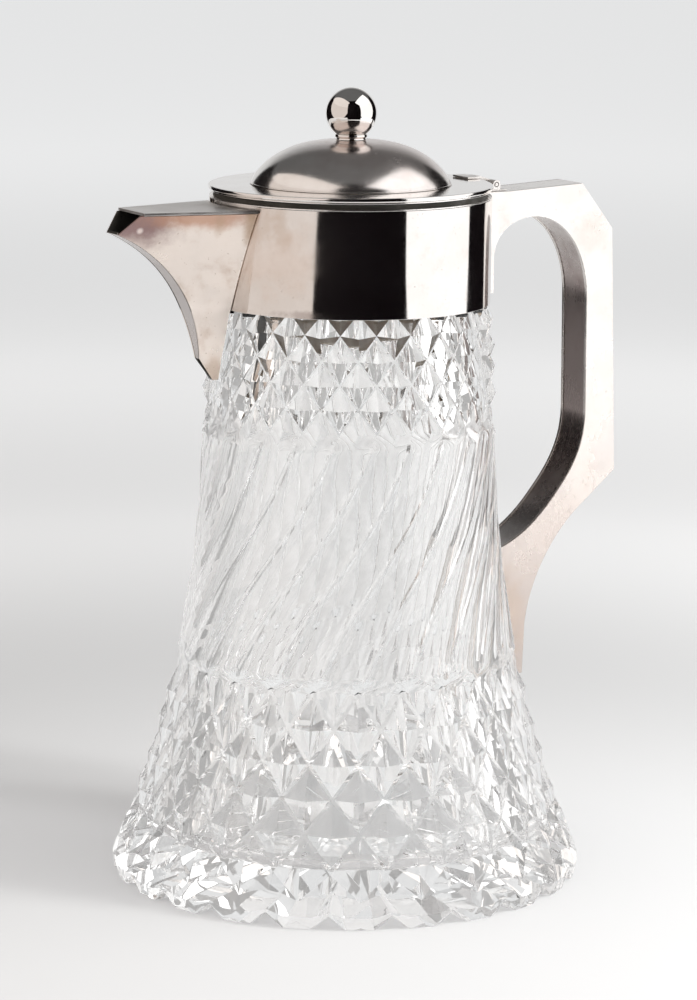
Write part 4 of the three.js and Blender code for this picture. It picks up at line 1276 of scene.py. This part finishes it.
tail_top = ELBOW - TAIL_TOP_DROP
tail_tip = ELBOW - TAIL_TIP_DROP
tail_back = beside_crystal(tail_top) + TAIL_DEPTH
handle_back = [(handle_root, handle_top), (handle_root + ROOT_FLAT, handle_top),
               (handle_root + TOP_REACH, corner_top),
               (grip_inner + CHAMFER_REACH, corner_top - CHAMFER_DROP), (grip_back, ELBOW)]
handle_back += bezier([(grip_back - LOW_BEND_IN, ELBOW - LOW_BEND_DROP),
                       (grip_back - LOW_BEND_IN * LOW_BEND_LEAN[0],
                        ELBOW - LOW_BEND_DROP * LOW_BEND_LEAN[1]),
                       (tail_back + TAIL_LEAN[0], tail_top + TAIL_LEAN[1]), (tail_back, tail_top)], 20)
handle_back.append((beside_crystal(tail_tip) + TAIL_TIP_DEPTH, tail_tip))

# The finger space: an arch over it, the straight grip, and a bend into the lower arm
ROOT_DEPTH = 0.0045
ARCH_DROP = 0.01
ARCH_REACH = 0.0217
ROOT_CORNER = 0.0148
GRIP_CORNER = 0.0328
GRIP_BEND_RISE = 0.0229
BEND_DROP = 0.0326
BEND_IN = 0.0143
ARM_DROP = 0.0269
ROOT_LEAN = 0.36
ARCH_LEAN_IN = 0.009
ARCH_LEAN_OUT = 0.013
GRIP_LEAN = 0.39
GRIP_PROUD = 0.0004
BEND_LEAN = (0.46, 0.74)
BEND_LEAN_IN = 0.5
ARM_BEND_IN = 1.48
ARM_BEND_RISE = 0.009
ARM_LEAN = (0.0097, 0.0028)
TAIL_STEPS = 12
root_inner = handle_root + ROOT_DEPTH
root_bottom = COLLAR_BOTTOM + SOLDER_GAP * 5
arch_crown = COLLAR_TOP - ARCH_DROP
arch_centre = handle_root + ARCH_REACH
grip_bend = ELBOW + GRIP_BEND_RISE
bend_low = grip_bend - BEND_DROP
lower_arm = ELBOW - ARM_DROP
arm_end = beside_crystal(lower_arm)
handle_front = [(handle_root, root_bottom), (root_inner, root_bottom)]
handle_front += bezier([(root_inner, arch_crown - ROOT_CORNER),
                        (root_inner, arch_crown - ROOT_CORNER * ROOT_LEAN),
                        (arch_centre - ARCH_LEAN_IN, arch_crown), (arch_centre, arch_crown)], 18)
handle_front += bezier([(arch_centre, arch_crown), (arch_centre + ARCH_LEAN_OUT, arch_crown),
                        (grip_inner, arch_crown - GRIP_CORNER * GRIP_LEAN),
                        (grip_inner, arch_crown - GRIP_CORNER)], 24)[1:]
handle_front += bezier([(grip_inner + GRIP_PROUD, grip_bend),
                        (grip_inner + GRIP_PROUD / 2, grip_bend - BEND_DROP * BEND_LEAN[0]),
                        (grip_inner - BEND_IN * BEND_LEAN_IN, grip_bend - BEND_DROP * BEND_LEAN[1]),
                        (grip_inner - BEND_IN, bend_low)], 14)
handle_front += bezier([(grip_inner - BEND_IN, bend_low),
                        (grip_inner - BEND_IN * ARM_BEND_IN, lower_arm + ARM_BEND_RISE),
                        (arm_end + ARM_LEAN[0], lower_arm + ARM_LEAN[1]), (arm_end, lower_arm)], 14)[1:]
for step in range(1, TAIL_STEPS + 1):
    z = lower_arm + (tail_tip - lower_arm) * step / TAIL_STEPS
    handle_front.append((beside_crystal(z), z))


def strip_along(line, inset, thickness, side):
    """The outline of a strip of sheet that follows a line. side is 1 to the left of the way it runs."""
    def moved(distance):
        places = []
        for index, (x, z) in enumerate(line):
            before = Vector(line[max(0, index - 1)])
            after = Vector(line[min(len(line) - 1, index + 1)])
            here = Vector((x, z))
            into = (here - before) if index else (after - here)
            out = (after - here) if index < len(line) - 1 else (here - before)
            into.normalize()
            out.normalize()
            middle = (into + out).normalized()
            stretch = distance / max(0.5, middle.dot(into))
            places.append((x - side * middle.y * stretch, z + side * middle.x * stretch))
        return places
    return moved(inset) + moved(inset + thickness)[::-1]


side_outline = handle_back + handle_front[::-1]
outer_outline = strip_along(handle_back, 0, STRIP_SHEET, -1)
inner_outline = strip_along(handle_front, STRIP_INSET, STRIP_SHEET, 1)
strip_width = HANDLE_WIDTH - 2 * SIDE_SHEET - 2 * SOLDER_GAP
side_middle = (HANDLE_WIDTH - SIDE_SHEET) / 2
for node, outline, width, middle, rounding, material in (
        ("handle_left_side", side_outline, SIDE_SHEET, -side_middle, 0.0003, handle_silver),
        ("handle_right_side", side_outline, SIDE_SHEET, side_middle, 0.0003, handle_silver),
        ("handle_outer_strip", outer_outline, strip_width, 0, 0.0001, handle_silver),
        ("handle_inner_strip", inner_outline, strip_width, 0, 0.0001, grip_silver)):
    bm = plate_mesh(outline, width, rounding)
    bmesh.ops.translate(bm, verts=bm.verts, vec=(0, middle, 0))
    piece = finish_piece(bm, node + "_sheet", "jug", "silver_plate", material)
    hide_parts(node)


# Hinge
# A butt hinge over the root of the handle: a foot plate with two knuckles, a leaf on the lid with one
# knuckle between them, and a pin as long as the barrel.
HINGE_X = 0.0578
HINGE_Z = 0.25325
KNUCKLE = 0.0016
PIN = 0.00075
PIN_HOLE = 0.001
BARREL = 0.014
LID_KNUCKLE = 0.0058
FOOT_THICK = 0.0005
FOOT_FRONT = 0.0034
FOOT_BACK = 0.0046
LEAF_THICK = 0.0007
LEAF_HALF = 0.0055
LEAF_LENGTH = 0.0056
hinge_silver = silver("hinge_silver", 0.4, 0.28, 0.4, (1, 1, 1))
foot_low = handle_top + SOLDER_GAP
foot_high = foot_low + FOOT_THICK
fixed_knuckle = (BARREL - LID_KNUCKLE) / 2 - ROUND_FIT


def about_hinge(radius, angle):
    """A place round the hinge's axis, in the plane of X and Z."""
    return HINGE_X + radius * cos(angle), HINGE_Z + radius * sin(angle)


def knuckle_part(outer, length, middle, width=0.00012):
    """A knuckle: an outline about the hinge's axis and the pin's hole, joined and drawn out along it."""
    bm = bmesh.new()
    loops = []
    hole = [about_hinge(PIN_HOLE, 2 * pi * i / len(outer)) for i in range(len(outer))]
    for line in (outer, hole):
        points = [bm.verts.new((x, -length / 2, z)) for x, z in line]
        loops += [bm.edges.new((points[i], points[(i + 1) % len(points)])) for i in range(len(points))]
    bmesh.ops.bridge_loops(bm, edges=loops)
    draw_out(bm, bm.faces[:], Vector((0, length, 0)))
    bmesh.ops.translate(bm, verts=bm.verts, vec=(0, middle, 0))
    soften(bm, 50, width)
    return bm


def join_meshes(parts):
    """One mesh of several closed ones."""
    whole = bmesh.new()
    for part in parts:
        data = bpy.data.meshes.new("part")
        part.to_mesh(data)
        part.free()
        whole.from_mesh(data)
        bpy.data.meshes.remove(data)
    return whole


def knuckle_outline(corners):
    """Corners of a knuckle's foot, then the round of its barrel, from the back over the top."""
    return list(corners) + [about_hinge(KNUCKLE, pi * i / 15) for i in range(16)]


knuckle_low = foot_high + 0.00002
knuckle_foot = [(HINGE_X + KNUCKLE * share, knuckle_low) for share in (-1, 0, 1)]
parts = [knuckle_part(knuckle_outline(knuckle_foot), fixed_knuckle, side * (BARREL - fixed_knuckle) / 2)
         for side in (-1, 1)]
foot = plate_mesh([(HINGE_X - FOOT_FRONT, -BARREL / 2), (HINGE_X + FOOT_BACK, -BARREL / 2),
                   (HINGE_X + FOOT_BACK, BARREL / 2), (HINGE_X - FOOT_FRONT, BARREL / 2)],
                  FOOT_THICK, 0.00015, "Z")
bmesh.ops.translate(foot, verts=foot.verts, vec=(0, 0, (foot_low + foot_high) / 2))
seat = finish_piece(join_meshes(parts + [foot]), "hinge_foot", "jug", "silver_plate", hinge_silver)
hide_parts("hinge_seat")

# The leaf lies on the lid's disc. Its arm reaches over the disc's edge to the middle knuckle.
FLANGE_RADIUS = 0.0519
FLANGE_BOTTOM = 0.2539
FLANGE_TOP = 0.2555
tab_low = FLANGE_TOP + SOLDER_GAP
tab_high = tab_low + LEAF_THICK
leaf_edge = FLANGE_RADIUS - 0.0004
arm = [(HINGE_X - KNUCKLE * 0.75, HINGE_Z - KNUCKLE * 0.6), (HINGE_X - KNUCKLE * 0.95, HINGE_Z + 0.0004),
       (FLANGE_RADIUS + 0.0008, tab_low), (leaf_edge, tab_low), (leaf_edge, tab_high),
       (FLANGE_RADIUS + 0.0011, tab_high), (HINGE_X - KNUCKLE * 0.3, HINGE_Z + KNUCKLE * 0.98)]
arc = [about_hinge(KNUCKLE, radians(90 - turn)) for turn in range(0, 216, 15)]
arm_part = knuckle_part((arm + arc)[::-1], LID_KNUCKLE, 0, 0.0001)
tab_inner = FLANGE_RADIUS - LEAF_LENGTH
tab_outer = leaf_edge - 0.00002
tab = plate_mesh([(tab_inner, -LEAF_HALF), (tab_outer, -LEAF_HALF), (tab_outer, LEAF_HALF),
                  (tab_inner, LEAF_HALF)], LEAF_THICK, 0.00015, "Z")
bmesh.ops.translate(tab, verts=tab.verts, vec=(0, 0, (tab_low + tab_high) / 2))
leaf = finish_piece(join_meshes([arm_part, tab]), "hinge_leaf", "lid", "silver_plate", hinge_silver)
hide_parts("hinge_lid_leaf")

pin_mesh = bmesh.new()
turn_profile(pin_mesh, [(0, -BARREL / 2), (PIN, -BARREL / 2), (PIN, BARREL / 2), (0, BARREL / 2)], 32)
soften(pin_mesh, angle=50, width=0.00015)
to_axis = Matrix.Rotation(radians(90), 3, "X")
bmesh.ops.rotate(pin_mesh, verts=pin_mesh.verts, cent=(0, 0, 0), matrix=to_axis)
bmesh.ops.translate(pin_mesh, verts=pin_mesh.verts, vec=(HINGE_X, 0, HINGE_Z))
pin = finish_piece(pin_mesh, "hinge_rod", "jug", "silver_plate", hinge_silver)
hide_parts("hinge_pin")


# Lid
# A flat turned disc with a ring under it that drops into the rim, and on it a raised dome of sheet,
# spun on a lathe, with fine turning marks that follow its circles.
BEZEL_RADIUS = RIM_MOUTH - 0.0009
BEZEL_WALL = 0.0012
BEZEL_DROP = 0.0064
BEZEL_BOTTOM = RIM_NECK_TOP + ROUND_FIT
BEZEL_TOP = BEZEL_BOTTOM + 0.0005
BEZEL_LEDGE = 0.0008
DOME_RADIUS = 0.0363
DOME_BASE = FLANGE_TOP + SOLDER_GAP
DOME_HEIGHT = 0.0159
DOME_LIP = 0.0004
DOME_FULLNESS = 2.8
DOME_SHOULDER = 0.74
STUD_HOLE = 0.0023
# The brown patch over the dome's top is painted reflection of the dark ceiling that the dome sees
lid_silver = silver("lid_silver", 0.4, 0.12, 0.4, (0.5, 0.5, 4), (
    ((0.004, -0.012, 0.272), (1, 1, 1), 0.042, 0.5, 0.55, (0.60, 0.49, 0.455, 1)),))
flange_silver = silver("flange_silver", 0.2, 0.07, 0.3, (1, 1, 1))

bezel_low = BEZEL_BOTTOM - BEZEL_DROP
bezel_inside = BEZEL_RADIUS - BEZEL_WALL
ledge = FLANGE_RADIUS - BEZEL_LEDGE
bezel = turned_piece("lid_seat_ring", [
    (bezel_inside, bezel_low), (BEZEL_RADIUS, bezel_low), (BEZEL_RADIUS, BEZEL_BOTTOM),
    (ledge, BEZEL_BOTTOM), (ledge, BEZEL_TOP), (bezel_inside, BEZEL_TOP), (bezel_inside, bezel_low)],
    "lid", flange_silver, steps=192)
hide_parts("lid_bezel")

DISC_OVERLAP = 0.003
flange_hole = DOME_RADIUS - DISC_OVERLAP
flange = turned_piece("lid_disc", [
    (flange_hole, FLANGE_BOTTOM), (FLANGE_RADIUS, FLANGE_BOTTOM), (FLANGE_RADIUS, FLANGE_TOP),
    (flange_hole, FLANGE_TOP), (flange_hole, FLANGE_BOTTOM)], "lid", flange_silver, steps=192, width=0.0005)
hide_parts("lid_flange")

DOME_STEPS = 56
outer = []
for step in range(DOME_STEPS + 1):
    r = STUD_HOLE + (DOME_RADIUS - STUD_HOLE) * cos(pi / 2 * step / DOME_STEPS)
    rise = (DOME_HEIGHT - DOME_LIP) * max(0, 1 - (r / DOME_RADIUS) ** DOME_FULLNESS) ** DOME_SHOULDER
    outer.append((r, DOME_BASE + DOME_LIP + rise))
inner = []
for step in range(DOME_STEPS, 2, -3):
    r, z = outer[step]
    inner.append((r - SHEET * (1 - step / DOME_STEPS), z - SHEET))
profile = [(DOME_RADIUS - SHEET, DOME_BASE), (DOME_RADIUS + DOME_LIP, DOME_BASE),
           (DOME_RADIUS + DOME_LIP, DOME_BASE + DOME_LIP)]
profile += outer + inner + [(DOME_RADIUS - SHEET, DOME_BASE)]
dome = turned_piece("lid_dome_sheet", profile, "lid", lid_silver, steps=192, width=0.0001, angle=60)
line_inside(dome, inner_silver, lambda centre, normal: normal.x * centre.x + normal.y * centre.y
            + normal.z * (centre.z - DOME_BASE + 0.02) < 0)
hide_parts("lid_dome")


# Knob
# A solid ball over a short foot with a bead, both turned and brightly polished. A brass stud, with
# a washer and a nut inside the dome, draws them down on it.
FOOT_HEIGHT = 0.002
FOOT_BOTTOM = DOME_BASE + DOME_HEIGHT + SOLDER_GAP
FOOT_TOP = FOOT_BOTTOM + FOOT_HEIGHT
KNOB_FOOT_RADIUS = 0.0056
ROOT_RADIUS = 0.0053
BEAD_RADIUS = 0.0059
BALL_RADIUS = 0.0093
BALL_SEAT = 0.0057
knob_silver = silver("knob_silver", 0.1, 0.03, 0.1, (1, 1, 1))

BEAD_STEPS = 12
bead_low = FOOT_BOTTOM + FOOT_HEIGHT * 0.3
bead_middle = (bead_low + FOOT_TOP) / 2
bead = []
for step in range(BEAD_STEPS + 1):
    angle = radians(-75 + 150 * step / BEAD_STEPS)
    bead.append((ROOT_RADIUS + (BEAD_RADIUS - ROOT_RADIUS) * cos(angle),
                 bead_middle + (FOOT_TOP - bead_low) / 2 * sin(angle)))
profile = [(STUD_HOLE, FOOT_BOTTOM), (KNOB_FOOT_RADIUS, FOOT_BOTTOM),
           (ROOT_RADIUS, FOOT_BOTTOM + FOOT_HEIGHT * 0.2)]
profile += bead + [(STUD_HOLE, FOOT_TOP), (STUD_HOLE, FOOT_BOTTOM)]
knob_foot = turned_piece("knob_beaded_foot", profile, "lid", knob_silver, steps=96, width=0.0001, angle=50)
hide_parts("knob_foot")

# The ball is cut flat where it sits on the foot, and drilled for the stud
BALL_STEPS = 48
HOLE_DEPTH = 0.009
ball_centre = FOOT_TOP + SOLDER_GAP + sqrt(BALL_RADIUS ** 2 - BALL_SEAT ** 2)
stud_bite = ball_centre - BALL_RADIUS + HOLE_DEPTH
seat_angle = asin(BALL_SEAT / BALL_RADIUS)
profile = [(0, stud_bite), (STUD_HOLE, stud_bite), (STUD_HOLE, FOOT_TOP + SOLDER_GAP)]
for step in range(BALL_STEPS):
    angle = seat_angle + (pi - seat_angle) * step / BALL_STEPS
    profile.append((BALL_RADIUS * sin(angle), ball_centre - BALL_RADIUS * cos(angle)))
profile.append((0, ball_centre + BALL_RADIUS))
ball = turned_piece("knob_polished_ball", profile, "lid", knob_silver, steps=96, width=0.0002, angle=40)
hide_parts("knob_ball")

brass, nodes, links, output = new_material("old_brass")
metal = nodes.new("ShaderNodeBsdfPrincipled")
metal.inputs["Metallic"].default_value = 1.0
place = nodes.new("ShaderNodeTexCoord").outputs["Object"]
tone = spread(brass.node_tree, noise(brass.node_tree, place, 300, 5, 0.6), 0.35, 0.7)
yellow = mix(brass.node_tree, tone, (0.58, 0.42, 0.18, 1), (0.34, 0.23, 0.11, 1))
duller = maths(brass.node_tree, "MULTIPLY", tone, 0.2)
links.new(yellow, metal.inputs["Base Color"])
links.new(maths(brass.node_tree, "ADD", duller, 0.28), metal.inputs["Roughness"])
links.new(metal.outputs["BSDF"], output.inputs["Surface"])

WASHER_RADIUS = 0.005
WASHER_THICK = 0.0008
washer_top = DOME_BASE + DOME_HEIGHT - SHEET - ROUND_FIT
washer_low = washer_top - WASHER_THICK
washer = turned_piece("brass_washer", [
    (STUD_HOLE, washer_low), (WASHER_RADIUS, washer_low), (WASHER_RADIUS, washer_top),
    (STUD_HOLE, washer_top), (STUD_HOLE, washer_low)], "lid", brass, "brass", steps=64)
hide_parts("knob_washer")

NUT_FLAT = 0.0035
NUT_THICK = 0.0032
NUT_PARTS = 24
nut_top = washer_low - SOLDER_GAP
nut_low = nut_top - NUT_THICK


def on_nut(index):
    """A point of the nut's six sides, four to a side."""
    corner, part = divmod(index, NUT_PARTS // 6)
    radius = NUT_FLAT / cos(pi / 6)
    ends = [Vector((radius * sin(pi / 3 * k), radius * cos(pi / 3 * k), 0)) for k in (corner, corner + 1)]
    return ends[0].lerp(ends[1], part * 6 / NUT_PARTS)


def on_hole(index):
    """A point of the nut's round hole."""
    angle = 2 * pi * index / NUT_PARTS
    return Vector((STUD_HOLE * sin(angle), STUD_HOLE * cos(angle), 0))


nut_mesh = bmesh.new()
loops = first_ring(nut_mesh, NUT_PARTS, on_nut)[1] + first_ring(nut_mesh, NUT_PARTS, on_hole)[1]
bmesh.ops.bridge_loops(nut_mesh, edges=loops)
draw_out(nut_mesh, nut_mesh.faces[:], Vector((0, 0, nut_top - nut_low)))
bmesh.ops.translate(nut_mesh, verts=nut_mesh.verts, vec=(0, 0, nut_low))
soften(nut_mesh, angle=40, width=0.0002)
nut = finish_piece(nut_mesh, "brass_nut", "lid", "brass", brass)
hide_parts("knob_nut")

# The stud is threaded from its lower end to just over the nut
STUD = 0.002
STUD_END = 0.0016
THREAD_PITCH = 0.0006
THREAD_DEPTH = 0.0003
THREAD_CHAMFER = 0.0004
stud_top = stud_bite - ROUND_FIT
stud_low = nut_low - STUD_END
profile = [(0, stud_low), (STUD - THREAD_CHAMFER, stud_low)]
z = stud_low + THREAD_CHAMFER
while z < nut_top + 0.001:
    profile += [(STUD, z), (STUD - THREAD_DEPTH, z + THREAD_PITCH / 2)]
    z += THREAD_PITCH
profile += [(STUD, z), (STUD, stud_top - THREAD_DEPTH), (STUD - THREAD_DEPTH, stud_top), (0, stud_top)]
stud = turned_piece("brass_stud", profile, "lid", brass, "brass", steps=32, width=0.00003, angle=100)
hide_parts("knob_stud")
